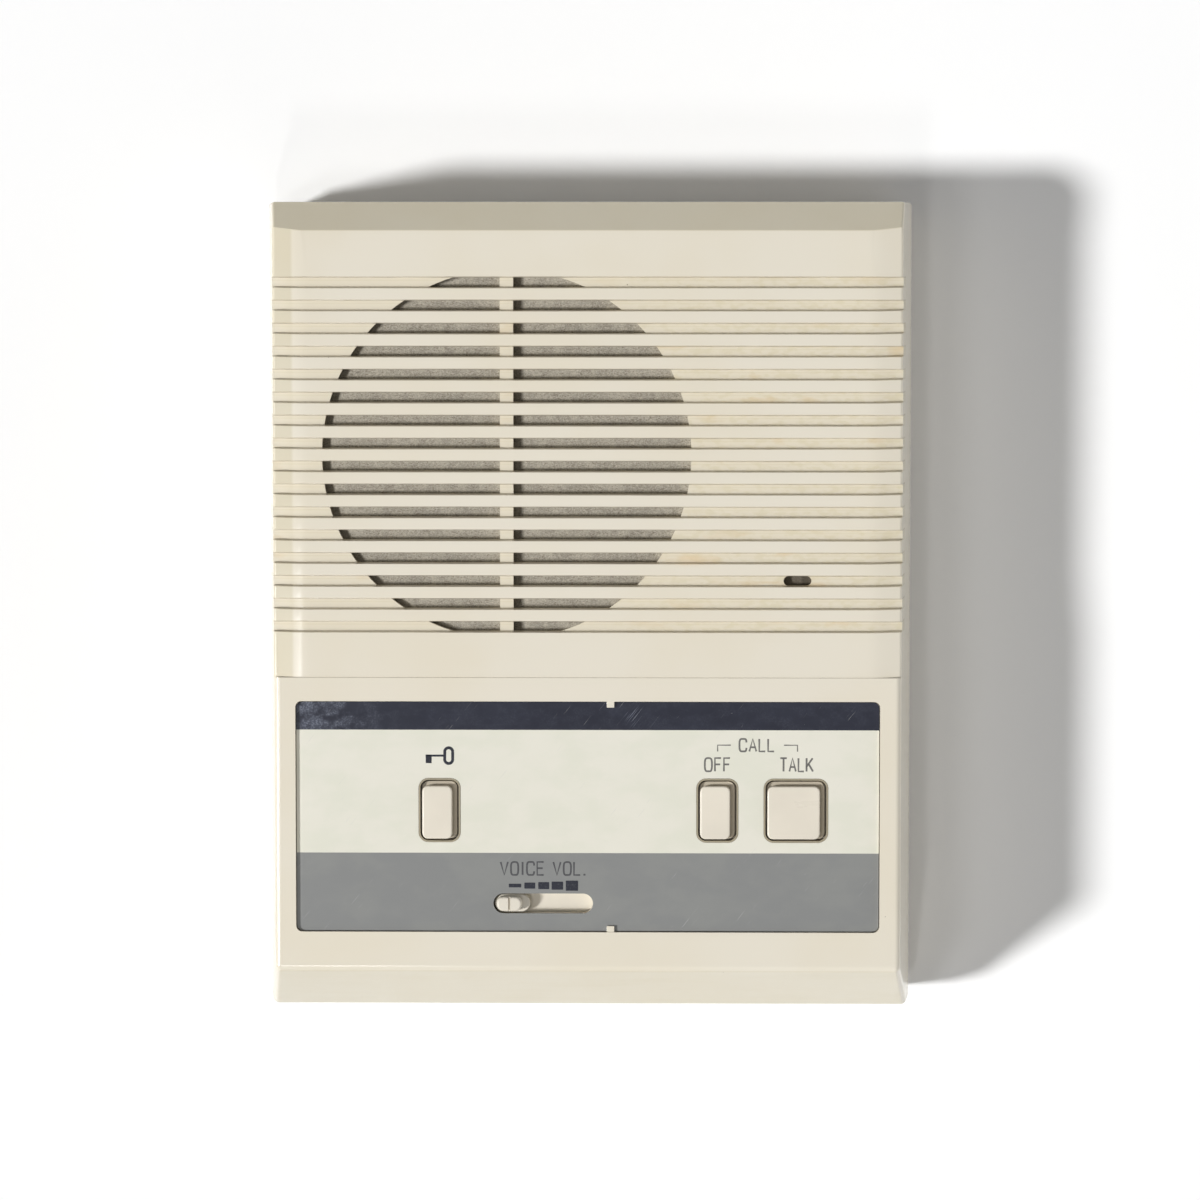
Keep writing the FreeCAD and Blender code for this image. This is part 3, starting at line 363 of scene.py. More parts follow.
# ------------------------------------------------------------------ finishes
class Finish:
    """A look that is laid on a recipe."""

    def dress(self, name: str) -> bpy.types.Material:
        """Makes the material.

        Args:
            name: Name of the material.

        Returns:
            The material.
        """
        recipe = Recipe(name)
        self.coat(recipe)
        return recipe.material


@dataclass(frozen=True)
class Moulding(Finish):
    """Injection moulded plastic: cloudy tone, fine grain, dust specks, rubbed patches and painted shade
    below a height.
    """

    colour: Colour
    roughness: float = 0.42
    grain: float = 0.004
    clouds: float = 0.08
    painted_shade_below: float = 0.0

    def coat(self, r: Recipe) -> None:
        """Lays its colour, gloss and relief.

        Args:
            r: Recipe of the material.
        """
        deeper = shade(self.colour, 1 - 2 * self.clouds)
        tone = r.mix(r.noise(14.0, 3.0).rise(0.3, 0.7), self.colour, deeper)
        # Painted shade: below a set height the colour is darkened, standing in for the shade deep in a
        # button's well.
        tone = r.mix((r.z < self.painted_shade_below) * 0.45, tone, paint(128, 112, 82))
        tone = r.mix(r.specks(5.0, 0.16, 0.35) * 0.5, tone, paint(92, 78, 58))
        rubbed = r.noise(6.0, 4.0, (4, 0.6, 1), 3.0).rise(0.5, 0.72)
        gloss = self.roughness + 0.08 * r.noise(3.0, 3.0, shift=5.0) - 0.1 * rubbed
        relief = r.noise(0.35, 2.0) * self.grain + r.noise(9.0, 1.0, shift=9.0) * 0.02
        r.finish(tone, gloss, relief)


@dataclass(frozen=True)
class CasePlastic(Finish):
    """Cream front case that has yellowed, with dirt held in its grooves, and painted shade on its slopes
    and round the key wells.
    """

    colour: Colour = paint(226, 219, 203)
    warm: Colour = paint(221, 211, 188)
    floor: Colour = paint(219, 211, 191)
    stain: Colour = paint(208, 180, 128)
    dirt: Colour = paint(132, 110, 76)
    slope_shade: Colour = (0.885, 0.87, 0.8, 1.0)
    first_groove: float = 80.45
    pitch: float = 5.59
    groove_count: int = 16
    outside_from: float = 34.0
    speckled_from: Pair = (-10.0, 30.0)
    spill: Pair = (23.5, 12.9)
    shaded_well_heights: Pair = (44.6, 45.35)
    well_row: Pair = (9.0, 8.6)
    well_reach: Pair = (66.0, 65.0)
    far_slope: Pair = (93.1, 45.7)
    chin: Pair = (-87.8, 46.0)
    front_wall: Pair = (-98.6, -99.6)
    left_slope: Pair = (-71.4, -72.4)
    left_slope_foot: Pair = (43.2, 44.6)
    left_slope_near_end: float = -15.8

    def coat(self, r: Recipe) -> None:
        """Lays its colour, gloss and relief.

        Args:
            r: Recipe of the material.
        """
        line = (self.first_groove - r.y) / self.pitch
        inside = (line > -0.45) * (line < self.groove_count - 0.5) * (r.z > self.outside_from)
        below = (line - line.nearest()) * self.pitch
        bottom = inside * abs(below).rise(1.45, 1.15)
        clouds = r.noise(38.0, 3.0).rise(0.35, 0.7)
        blotches = r.noise(5.5, 4.0, (2.2, 0.8, 1), 4.0)
        patches = r.noise(24.0, 2.0, shift=7.0).rise(0.42, 0.6)
        tone = r.mix(clouds * 0.45, self.colour, self.warm)
        tone = r.mix(bottom * 0.75, tone, self.floor)
        right = r.x.rise(10.0, 60.0) * 0.2 + 0.2
        mottled = bottom * blotches.rise(0.54, 0.68) * patches * right
        freckles = r.noise(1.7, 4.0, (1.5, 0.7, 1), 12.0).rise(0.44, 0.64)
        freckles = freckles * r.x.rise(*self.speckled_from)
        tone = r.mix(bottom * freckles * 0.32, tone, paint(204, 194, 158))
        tone = r.mix(inside * below.bell(-0.5, 0.16) * 0.3, tone, paint(205, 194, 164))
        tone = r.mix(mottled, tone, self.stain)
        spill = r.x.bell(self.spill[0], 5.5) * r.y.bell(self.spill[1], 1.3) * blotches.rise(0.3, 0.6)
        tone = r.mix(spill * 0.5, tone, paint(218, 186, 130))
        worn = r.noise(7.0, 3.0, (3, 1, 1), 2.0).rise(0.25, 0.65)
        lower_line = inside * below.bell(1.3, 0.12) * (0.02 + 0.25 * worn * r.y.rise(45.0, 8.0))
        upper_line = inside * below.bell(-1.22, 0.2) * (0.18 + 0.25 * worn)
        tone = r.mix(lower_line.most(upper_line), tone, self.dirt)
        # Painted shade: the case round the key wells, between two heights, is darkened olive-brown where
        # the gaps lie in shade.
        row = abs(r.y - KEY_ROW).rise(*self.well_row) * abs(r.x).rise(*self.well_reach)
        well_shade = (r.z > self.shaded_well_heights[0]) * (r.z < self.shaded_well_heights[1]) * row
        tone = r.mix(well_shade * 0.75, tone, paint(126, 114, 84))
        # Painted shade: the far bevel, the chin, the front wall and the left slope of the upper face are
        # multiplied darker, standing in for the light they miss.
        far = (r.y - self.far_slope[0]) * 0.745 + (r.z - self.far_slope[1]) * 0.667
        near = (r.z - self.chin[1]) * 0.425 - (r.y - self.chin[0]) * 0.905
        slopes = far.rise(-0.25, -0.02).most(near.rise(-0.2, -0.02)).most(r.y.rise(*self.front_wall))
        left = r.x.rise(*self.left_slope) * (r.y > self.left_slope_near_end)
        shaded_slopes = slopes.most(left * r.z.rise(*self.left_slope_foot))
        tone = r.mix(shaded_slopes, tone, self.slope_shade, "MULTIPLY")
        tone = r.mix(r.specks(8.0, 0.2, 0.3) * 0.7, tone, paint(110, 94, 70))
        tone = r.mix(r.specks(17.0, 0.45, 0.22, 3.0) * 0.3, tone, self.stain)
        smears = r.noise(5.0, 4.0, (5, 0.7, 1), 6.0).rise(0.48, 0.75)
        gloss = 0.3 + 0.1 * r.noise(2.0, 3.0, shift=1.0) + 0.12 * smears + bottom * 0.1
        relief = r.noise(0.4, 2.0) * 0.003 + r.noise(11.0, 1.0, shift=8.0) * 0.03
        r.finish(tone, gloss, relief, specular=0.3, coat=0.6)


@dataclass(frozen=True)
class PrintedSheet(Finish):
    """Glossy label sheet: a dark blue band, an off-white field and a grey band, scuffed by use."""

    navy: Colour = paint(36, 38, 50)
    white: Colour = paint(229, 226, 213)
    grey: Colour = paint(135, 136, 135)
    navy_line: float = -28.7
    grey_line: float = -58.95
    blur: float = 0.04
    hatch_turn: float = 0.9
    scuffed: Pair = (12.0, -25.5)
    worn_end: Pair = (-46.0, -68.0)

    def coat(self, r: Recipe) -> None:
        """Lays its colour, gloss and relief.

        Args:
            r: Recipe of the material.
        """
        is_navy = r.y.rise(self.navy_line - self.blur, self.navy_line + self.blur)
        is_grey = r.y.rise(self.grey_line + self.blur, self.grey_line - self.blur)
        mottle = r.noise(6.0, 4.0, (1.6, 1, 1)).rise(0.35, 0.68)
        white = r.mix(mottle * 0.6, self.white, paint(221, 221, 205))
        grey = r.mix(mottle * 0.4, self.grey, paint(145, 146, 142))
        navy = r.mix(mottle * 0.4, self.navy, paint(46, 49, 62))
        tone = r.mix(is_grey, r.mix(is_navy, white, navy), grey)
        flecks = r.noise(0.4, 3.0, shift=6.0).rise(0.42, 0.68)
        bloom = r.noise(2.2, 3.0, (1.2, 1, 1), 11.0).rise(0.36, 0.66) * (flecks * 0.65 + 0.35)
        turned = {"Vector": r.place, "Rotation": (0, 0, self.hatch_turn), "Scale": (8.0, 0.22, 1.0)}
        cross = r.node("ShaderNodeMapping", {"vector_type": "TEXTURE"}, turned)["Vector"]
        fibres = {"Vector": cross, "Scale": 1.0, "Detail": 2.0}
        hatch = r.node("ShaderNodeTexNoise", inputs=fibres)["Fac"]
        left = r.x.rise(*self.worn_end)
        patch = r.x.bell(self.scuffed[0], 3.5) * r.y.bell(self.scuffed[1], 2.5)
        scuff = hatch.rise(0.6, 0.7) * patch * 0.45 + bloom * (left * 0.46 + 0.04)
        scuff = scuff.least(1.0) * is_navy
        tone = r.mix(scuff, tone, paint(142, 148, 164))
        dust = r.specks(2.2, 0.11, 0.4) * (is_navy * 0.55 + is_grey * 0.3)
        tone = r.mix(dust, tone, paint(205, 206, 205))
        tone = r.mix(r.specks(6.0, 0.15, 0.3, 2.0) * (1 - is_navy) * 0.55, tone, paint(88, 84, 76))
        scratch = hatch.rise(0.69, 0.74) * r.noise(8.0, 2.0, shift=14.0).rise(0.5, 0.6)
        tone = r.mix(scratch * 0.4, tone, paint(196, 197, 194))
        gloss = 0.16 + 0.12 * r.noise(3.5, 3.0, shift=3.0) + 0.2 * scuff
        relief = r.noise(16.0, 1.0, shift=5.0) * 0.05 - scuff * 0.003
        r.finish(tone, gloss, relief, specular=0.3)


@dataclass(frozen=True)
class PrintInk(Finish):
    """Screen printed ink: dense, a little uneven at its edges."""

    colour: Colour

    def coat(self, r: Recipe) -> None:
        """Lays its colour, gloss and relief.

        Args:
            r: Recipe of the material.
        """
        paler = shade(self.colour, 0.7, 0.135)
        tone = r.mix(r.noise(0.5, 3.0).rise(0.5, 0.8) * 0.25, self.colour, paler)
        r.finish(tone, 0.3 + 0.15 * r.noise(1.0, 2.0), r.noise(0.3, 2.0) * 0.002, specular=0.3)


@dataclass(frozen=True)
class Felt(Finish):
    """Thin grey-brown felted cloth with a faint weave, pale flecks and painted shadow inside the left rim
    of its opening and beside the rib.
    """

    colour: Colour = paint(156, 151, 140)
    thread: float = 0.42
    centre: Pair = SPEAKER_MIDDLE
    opening: float = 45.0
    rib_edge: float = 1.65
    shadow_reach: float = 1.9
    grime_blur: float = 0.3

    def coat(self, r: Recipe) -> None:
        """Lays its colour, gloss and relief.

        Args:
            r: Recipe of the material.
        """
        turn = 2 * math.pi / self.thread
        weave = (r.x * turn).wave() * (r.y * turn).wave()
        hairs = r.noise(0.22, 3.0, (2.2, 0.9, 1))
        crossed = r.noise(0.22, 3.0, (0.8, 2.4, 1), 4.0)
        lint = hairs.most(crossed)
        blotches = r.noise(3.2, 4.0, shift=2.0)
        tone = r.mix(blotches.rise(0.35, 0.65), self.colour, shade(self.colour, 1.29))
        tone = r.mix(lint.rise(0.5, 0.72) * 0.75, tone, shade(self.colour, 1.95))
        tone = r.mix(hairs.rise(0.46, 0.3) * 0.7, tone, paint(104, 95, 81))
        tone = r.mix((weave * 0.5 + 0.5) * 0.22, tone, paint(118, 108, 94))
        # Painted shadow: a band inside the opening's left rim and one right of the rib are darkened, where
        # the key light's shadow falls on the cloth.
        across, along = r.x - self.centre[0], r.y - self.centre[1]
        inward = across - self.shadow_reach
        edge = ((self.opening + side * self.grime_blur) ** 2 for side in (-1, 1))
        rim = (inward * inward + along * along).rise(*edge)
        beside = abs(inward - self.rib_edge + self.shadow_reach / 2)
        rib_shadow = beside.rise(self.shadow_reach, self.shadow_reach - 0.8)
        tone = r.mix((rim * (across < 0.0)).most(rib_shadow) * 0.5, tone, paint(52, 46, 36))
        relief = weave * 0.03 + lint * 0.12
        r.finish(tone, 0.92 + 0.06 * blotches, relief, specular=0.2, sheen=0.25)


class Lay(Enum):
    """How the surface of a metal part has been worked."""

    SPANGLED = "spangled"
    ROLLED = "rolled"
    TURNED = "turned"


@dataclass(frozen=True)
class BareMetal(Finish):
    """Plated or bare metal with the marks of its making and some tarnish."""

    colour: Colour
    lay: Lay = Lay.ROLLED
    roughness: float = 0.34
    tarnish: Colour = paint(112, 98, 80)
    centre: Pair = (0.0, 0.0)

    def coat(self, r: Recipe) -> None:
        """Lays its colour, gloss and relief.

        Args:
            r: Recipe of the material.
        """
        if self.lay is Lay.TURNED:
            across, along = r.x - self.centre[0], r.y - self.centre[1]
            reach = (across * across + along * along).root()
            marks = (reach * 26.0 + r.noise(4.0) * 8.0).wave() * 0.25 + 0.5
        elif self.lay is Lay.SPANGLED:
            marks = r.cells(1.6)[1]["Red"] * 0.6 + 0.2
        else:
            marks = r.noise(0.35, 3.0, (16, 0.7, 0.7))
        tone = r.mix(marks, self.colour, shade(self.colour, 1.25))
        stains = r.noise(3.0, 4.0, shift=5.0).rise(0.55, 0.75)
        tone = r.mix(stains * 0.55, tone, self.tarnish)
        gloss = self.roughness + 0.18 * stains + 0.12 * (marks - 0.5)
        r.finish(tone, gloss, marks * 0.006 + r.noise(0.6, 2.0) * 0.004, metallic=1.0)


@dataclass(frozen=True)
class Pulp(Finish):
    """Pressed paper or card, with its fibres."""

    colour: Colour
    fibre: Colour
    coarse: float = 0.5

    def coat(self, r: Recipe) -> None:
        """Lays its colour, gloss and relief.

        Args:
            r: Recipe of the material.
        """
        crossed = r.noise(self.coarse, 4.0, (0.7, 3, 1), 4.0)
        fibres = r.noise(self.coarse, 4.0, (3, 0.7, 1)).most(crossed)
        tone = r.mix(fibres.rise(0.5, 0.75), self.colour, self.fibre)
        tone = r.mix(r.noise(7.0, 3.0).rise(0.4, 0.7) * 0.35, tone, self.fibre)
        r.finish(tone, 0.86 + 0.08 * fibres, fibres * 0.08, specular=0.25)


@dataclass(frozen=True)
class Rubber(Finish):
    """Soft rubber with a dusty bloom and a fine skin."""

    colour: Colour
    bloom: Colour = paint(96, 94, 90)

    def coat(self, r: Recipe) -> None:
        """Lays its colour, gloss and relief.

        Args:
            r: Recipe of the material.
        """
        dusty = r.noise(2.5, 4.0).rise(0.45, 0.75)
        tone = r.mix(dusty * 0.4, self.colour, self.bloom)
        tone = r.mix(r.specks(1.4, 0.09, 0.5) * 0.5, tone, paint(150, 146, 138))
        r.finish(tone, 0.68 + 0.15 * dusty, r.noise(0.3, 3.0) * 0.02, specular=0.35)


@dataclass(frozen=True)
class BoardLaminate(Finish):
    """Brown pressed board: bare and fibrous above, copper tracks under lacquer below."""

    colour: Colour = paint(134, 105, 66)
    copper: Colour = paint(168, 120, 62)
    underside: float = 28.6
    pitch: float = 2.54

    def coat(self, r: Recipe) -> None:
        """Lays its colour, gloss and relief.

        Args:
            r: Recipe of the material.
        """
        fibres = r.noise(0.7, 4.0, (5, 0.6, 1))
        tone = r.mix(fibres.rise(0.35, 0.7), self.colour, paint(112, 84, 50))
        step_x, step_y = r.x / self.pitch, r.y / self.pitch
        off_x, off_y = step_x - step_x.nearest(), step_y - step_y.nearest()
        lane = r.noise(26.0, 0.0, shift=4.0) + r.chance(7.0, step_y.nearest()) * 0.4
        track = abs(off_y).rise(0.24, 0.2) * lane.rise(0.69, 0.7)
        reach = off_x * off_x + off_y * off_y
        pad = reach.rise(0.13, 0.11) * (r.chance(step_x.nearest(), step_y.nearest()) < 0.16)
        copper = track.most(pad) * (r.z < self.underside)
        tone = r.mix(copper * 0.9, tone, self.copper)
        solder = pad * reach.rise(0.075, 0.05) * (r.z < self.underside)
        tone = r.mix(solder, tone, paint(186, 186, 182))
        gloss = 0.42 + 0.2 * fibres - 0.16 * copper
        r.finish(tone, gloss, fibres * 0.01 + copper * 0.035 + solder * 0.2, coat=0.3)


@dataclass(frozen=True)
class Ferrite(Finish):
    """Dark sintered magnet with chipped specks."""

    colour: Colour = paint(66, 65, 66)

    def coat(self, r: Recipe) -> None:
        """Lays its colour, gloss and relief.

        Args:
            r: Recipe of the material.
        """
        sinter = r.noise(0.5, 4.0)
        tone = r.mix(sinter.rise(0.4, 0.7), self.colour, paint(88, 86, 86))
        chips = r.specks(2.6, 0.5, 0.3)
        tone = r.mix(chips * 0.5, tone, paint(122, 119, 116))
        r.finish(tone, 0.55 + 0.2 * sinter, sinter * 0.04 - chips * 0.05)


@dataclass(frozen=True)
class IronStack(Finish):
    """Varnished iron sheets stacked along the length of the case."""

    colour: Colour = paint(96, 96, 101)
    sheet: float = 0.5

    def coat(self, r: Recipe) -> None:
        """Lays its colour, gloss and relief.

        Args:
            r: Recipe of the material.
        """
        step = r.y / self.sheet
        seam = abs(step - step.nearest()).rise(0.36, 0.48)
        tint = r.chance(3.0, step.nearest())
        tone = r.mix(tint * 0.5, self.colour, paint(118, 116, 118))
        tone = r.mix(seam * 0.8, tone, paint(36, 32, 30))
        tone = r.mix(r.noise(2.0, 4.0).rise(0.55, 0.7) * 0.5, tone, paint(112, 74, 46))
        r.finish(tone, 0.42 + 0.2 * tint, seam * -0.05, metallic=0.6, coat=0.4)


@dataclass(frozen=True)
class WindingTape(Finish):
    """Yellow film wound over the coil, with the ridges of the wire beneath it."""

    colour: Colour = paint(196, 176, 88)

    def coat(self, r: Recipe) -> None:
        """Lays its colour, gloss and relief.

        Args:
            r: Recipe of the material.
        """
        ridges = (r.z * 14.0 + r.noise(5.0) * 2.0).wave()
        overlap = r.noise(3.0, 2.0, (3, 3, 0.6)).rise(0.48, 0.55)
        tone = r.mix(overlap * 0.5, self.colour, paint(172, 148, 62))
        r.finish(tone, 0.28 + 0.2 * r.noise(1.5, 3.0), ridges * 0.03 + overlap * 0.04, coat=0.5)


@dataclass(frozen=True)
class CapacitorSleeve(Finish):
    """Shrunk plastic sleeve with a pale stripe for the negative lead and a bare metal top."""

    colour: Colour = paint(38, 62, 120)
    metal: Colour = paint(196, 196, 194)
    first_x: float = -18.0
    pitch: float = 13.0
    top: float = 39.45
    middle_y: float = -29.975
    stripe: float = 2.9

    def coat(self, r: Recipe) -> None:
        """Lays its colour, gloss and relief.

        Args:
            r: Recipe of the material.
        """
        step = (r.x - self.first_x) / self.pitch
        across = (step - step.nearest()) * self.pitch
        stripe = abs(across - self.stripe).rise(1.1, 1.0) * (r.y < -30.0)
        tone = r.mix(stripe * 0.85, self.colour, paint(198, 200, 204))
        tone = r.mix(r.noise(2.0, 3.0).rise(0.5, 0.75) * 0.3, tone, paint(58, 84, 142))
        lid = (r.z > self.top) * abs(across).rise(4.2, 3.9)
        cross = lid * abs(across).least(abs(r.y - self.middle_y)).rise(0.35, 0.15)
        tone = r.mix(lid, tone, self.metal)
        tone = r.mix(cross * 0.7, tone, paint(112, 112, 110))
        r.finish(tone, 0.3 + 0.12 * r.noise(1.2, 3.0), cross * -0.2 + r.noise(2.2, 2.0) * 0.03)


@dataclass(frozen=True)
class BandedLacquer(Finish):
    """Resistor lacquer with generic colour rings."""

    colour: Colour = paint(205, 181, 144)
    first_x: float = 7.55
    pitch: float = 8.0
    length: float = 6.0
    rings: tuple[tuple[float, Colour], ...] = (
        (-1.7, paint(96, 56, 32)),
        (-0.8, paint(182, 38, 30)),
        (0.1, paint(226, 124, 28)),
        (1.7, paint(178, 140, 60)),
    )

    def coat(self, r: Recipe) -> None:
        """Lays its colour, gloss and relief.

        Args:
            r: Recipe of the material.
        """
        step = (r.x - self.first_x - self.length / 2) / self.pitch
        along = (step - step.nearest()) * self.pitch
        tone = r.mix(r.noise(0.8, 3.0) * 0.5, self.colour, paint(186, 158, 118))
        chance = r.chance(step.nearest(), 2.0)
        for place, ink in self.rings:
            ring = abs(along - place).rise(0.3, 0.24)
            tone = r.mix(ring * (0.7 + 0.3 * chance), tone, ink)
        r.finish(tone, 0.36 + 0.1 * r.noise(0.6, 2.0), r.noise(1.2, 2.0) * 0.04, coat=0.3)


@dataclass(frozen=True)
class GlassBead(Finish):
    """Reddish diode glass with a black ring at one end."""

    colour: Colour = paint(186, 96, 60)
    ring: float = 9.4

    def coat(self, r: Recipe) -> None:
        """Lays its colour, gloss and relief.

        Args:
            r: Recipe of the material.
        """
        core = r.noise(1.0, 2.0, (4, 1, 1)).rise(0.4, 0.65)
        tone = r.mix(core * 0.6, self.colour, paint(120, 44, 26))
        ring = abs(r.x - self.ring).rise(0.4, 0.34)
        tone = r.mix(ring, tone, paint(22, 21, 22))
        r.finish(tone, 0.1 + 0.1 * r.noise(0.8, 2.0), r.noise(1.5, 1.0) * 0.02, coat=1.0)


# ------------------------------------------------------------------ modelling
Test = Callable[[Vector, Vector], bool]


class Piece:
    """A mesh that is modelled with Blender's own operators. Sizes and places are in millimetres."""

    MERGE: ClassVar[float] = 0.001
    FLAT: ClassVar[float] = math.radians(0.3)
    TOUCH: ClassVar[float] = 0.01
    CLOTH_RIPPLE: ClassVar[float] = 0.08

    def __init__(self, name: str) -> None:
        """Takes the active object and puts its place in its mesh.

        Args:
            name: Name of the piece.
        """
        self.obj = bpy.context.object
        self.obj.name = self.obj.data.name = name
        bpy.ops.object.transform_apply(location=True, rotation=True, scale=True)

    @staticmethod
    def clear() -> None:
        """Leaves edit mode and deselects everything."""
        if bpy.context.object and bpy.context.object.mode != "OBJECT":
            bpy.ops.object.mode_set(mode="OBJECT")
        bpy.ops.object.select_all(action="DESELECT")

    @classmethod
    def start(cls, name: str, shape: Callable, **settings: object) -> "Piece":
        """Starts from one of Blender's own shapes.

        Args:
            name: Name of the piece.
            shape: Operator that adds the shape.
            settings: Its size and place.

        Returns:
            The piece.
        """
        cls.clear()
        shape(**settings)
        return cls(name)

    @classmethod
    def block(cls, name: str, low: Sequence[float], high: Sequence[float]) -> "Piece":
        """Starts from a block.

        Args:
            name: Name of the piece.
            low: Its lowest corner.
            high: Its highest corner.

        Returns:
            The piece.
        """
        middle = [(a + b) / 2 for a, b in zip(low, high)]
        size = [b - a for a, b in zip(low, high)]
        return cls.start(name, bpy.ops.mesh.primitive_cube_add, size=1, location=middle, scale=size)

    @classmethod
    def slab(cls, name: str, centre: Pair, half: Pair, low: float, high: float) -> "Piece":
        """Starts from a block with a middle and half its sides, between two heights."""
        near, far = ([c + side * h for c, h in zip(centre, half)] for side in (-1, 1))
        return cls.block(name, (*near, low), (*far, high))

    @classmethod
    def copy_of(cls, name: str, node: str) -> "Piece":
        """Starts from a copy of a construction node, with its flat faces whole again.

        Args:
            name: Name of the piece.
            node: Name of the node.

        Returns:
            The piece.
        """
        cls.clear()
        twin = bpy.data.objects.new(name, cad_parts[node].data.copy())
        bpy.context.scene.collection.objects.link(twin)
        twin.select_set(True)
        bpy.context.view_layer.objects.active = twin
        bpy.ops.mesh.customdata_custom_splitnormals_clear()
        twin.scale = (1 / MM,) * 3
        piece = cls(name)
        piece.weld(cls.MERGE)
        bpy.ops.mesh.dissolve_limited(angle_limit=cls.FLAT)
        return piece

    def activate(self) -> None:
        """Makes this piece the only selected one, in object mode."""
        self.clear()
        self.obj.select_set(True)
        bpy.context.view_layer.objects.active = self.obj

    def edit(self, mode: str, action: str = "DESELECT") -> None:
        """Goes to edit mode with nothing selected, or all of it.

        Args:
            mode: Kind of element to select.
            action: What to do with the selection.
        """
        self.activate()
        bpy.ops.object.mode_set(mode="EDIT")
        bpy.ops.mesh.select_mode(type=mode)
        bpy.ops.mesh.select_all(action=action)

    def weld(self, distance: float) -> "Piece":
        """Merges corners that lie close together, and leaves all selected.

        Args:
            distance: How close they lie.

        Returns:
            The piece.
        """
        self.edit("EDGE", "SELECT")
        bpy.ops.mesh.remove_doubles(threshold=distance)
        return self

    def faces(self, test: Test) -> "Piece":
        """Selects the faces whose middle and normal pass a test."""
        self.edit("FACE")
        return self.pick("faces", lambda face: test(face.calc_center_median(), face.normal))

    def edges(self, test: Test) -> "Piece":
        """Selects the edges whose two ends pass a test."""
        self.edit("EDGE")
        return self.pick("edges", lambda edge: test(*(corner.co for corner in edge.verts)))

    def pick(self, kind: str, test: Callable[..., bool]) -> "Piece":
        """Selects what passes a test, in edit mode, and nothing else.

        Args:
            kind: Name of the mesh's faces or edges.
            test: The test.

        Returns:
            The piece.
        """
        mesh = bmesh.from_edit_mesh(self.obj.data)
        for element in getattr(mesh, kind):
            element.select_set(bool(test(element)))
        bmesh.update_edit_mesh(self.obj.data)
        return self

    def bevel(self, width: float, segments: int) -> "Piece":
        """Rounds the selected edges."""
        bpy.ops.mesh.bevel(offset=width, segments=segments, affect="EDGES")
        return self

    def round_corners(self, width: float, segments: int) -> "Piece":
        """Rounds the upright edges of a block."""
        return self.edges(lambda a, b: abs(a.z - b.z) > self.TOUCH).bevel(width, segments)

    def round_rim(self, height: float, width: float, segments: int) -> "Piece":
        """Rounds the edges at the top, which has a certain height."""
        level = height - self.TOUCH
        return self.edges(lambda a, b: min(a.z, b.z) > level).bevel(width, segments)

    def inset(self, thickness: float) -> "Piece":
        """Insets the selected faces."""
        bpy.ops.mesh.inset(thickness=thickness)
        return self

    def extrude(self, height: float) -> "Piece":
        """Extrudes the selection upwards."""
        bpy.ops.mesh.extrude_region_move(TRANSFORM_OT_translate={"value": (0, 0, height)})
        return self

    def move(self, way: Sequence[float]) -> "Piece":
        """Moves the selection."""
        bpy.ops.transform.translate(value=tuple(way))
        return self

    def resize(self, shares: Sequence[float], centre: Sequence[float]) -> "Piece":
        """Scales the selection about a centre."""
        bpy.ops.transform.resize(value=tuple(shares), center_override=tuple(centre))
        return self

    def modify(self, kind: str, **settings: object) -> "Piece":
        """Adds a modifier and applies it.

        Args:
            kind: Type of the modifier.
            settings: Its properties.

        Returns:
            The piece.
        """
        self.activate()
        bpy.ops.object.modifier_add(type=kind)
        modifier = self.obj.modifiers[-1]
        for key, setting in settings.items():
            setattr(modifier, key, setting)
        bpy.ops.object.modifier_apply(modifier=modifier.name)
        return self

    def combine(self, other: "Piece", operation: str = "UNION") -> "Piece":
        """Adds another piece or cuts it out.

        Args:
            other: The other piece, which is used up.
            operation: Which of the two.

        Returns:
            The piece.
        """
        self.modify("BOOLEAN", operation=operation, object=other.obj, solver="EXACT")
        mesh = other.obj.data
        bpy.data.objects.remove(other.obj)
        bpy.data.meshes.remove(mesh)
        return self

    def join(self, others: Sequence["Piece"]) -> "Piece":
        """Takes other pieces into this mesh.

        Args:
            others: The pieces, which are used up.

        Returns:
            The piece.
        """
        self.activate()
        for other in others:
            other.obj.select_set(True)
        bpy.ops.object.join()
        return self

    def smooth(self, degrees: float = 30.0, weighted: bool = True) -> "Piece":
        """Shades smooth.

        Args:
            degrees: Edges that turn more than this stay sharp.
            weighted: Whether large faces are kept flat.

        Returns:
            The piece.
        """
        self.activate()
        bpy.ops.object.shade_smooth_by_angle(angle=math.radians(degrees))
        if weighted:
            self.modify("WEIGHTED_NORMAL", keep_sharp=True, weight=50)
        return self

    def drape(self, blotch: float, thickness: float) -> "Piece":
        """Makes slack cloth of a flat sheet.

        Args:
            blotch: Size of the ripples.
            thickness: Thickness of the cloth.

        Returns:
            The piece.
        """
        ripple = bpy.data.textures.new(f"{self.obj.name}_ripple", "CLOUDS")
        ripple.noise_scale = blotch
        settings = {"strength": self.CLOTH_RIPPLE, "mid_level": 0.5, "direction": "Z"}
        self.modify("DISPLACE", texture=ripple, **settings)
        self.modify("SOLIDIFY", thickness=thickness, offset=0.0)
        return self.smooth(50.0, weighted=False)

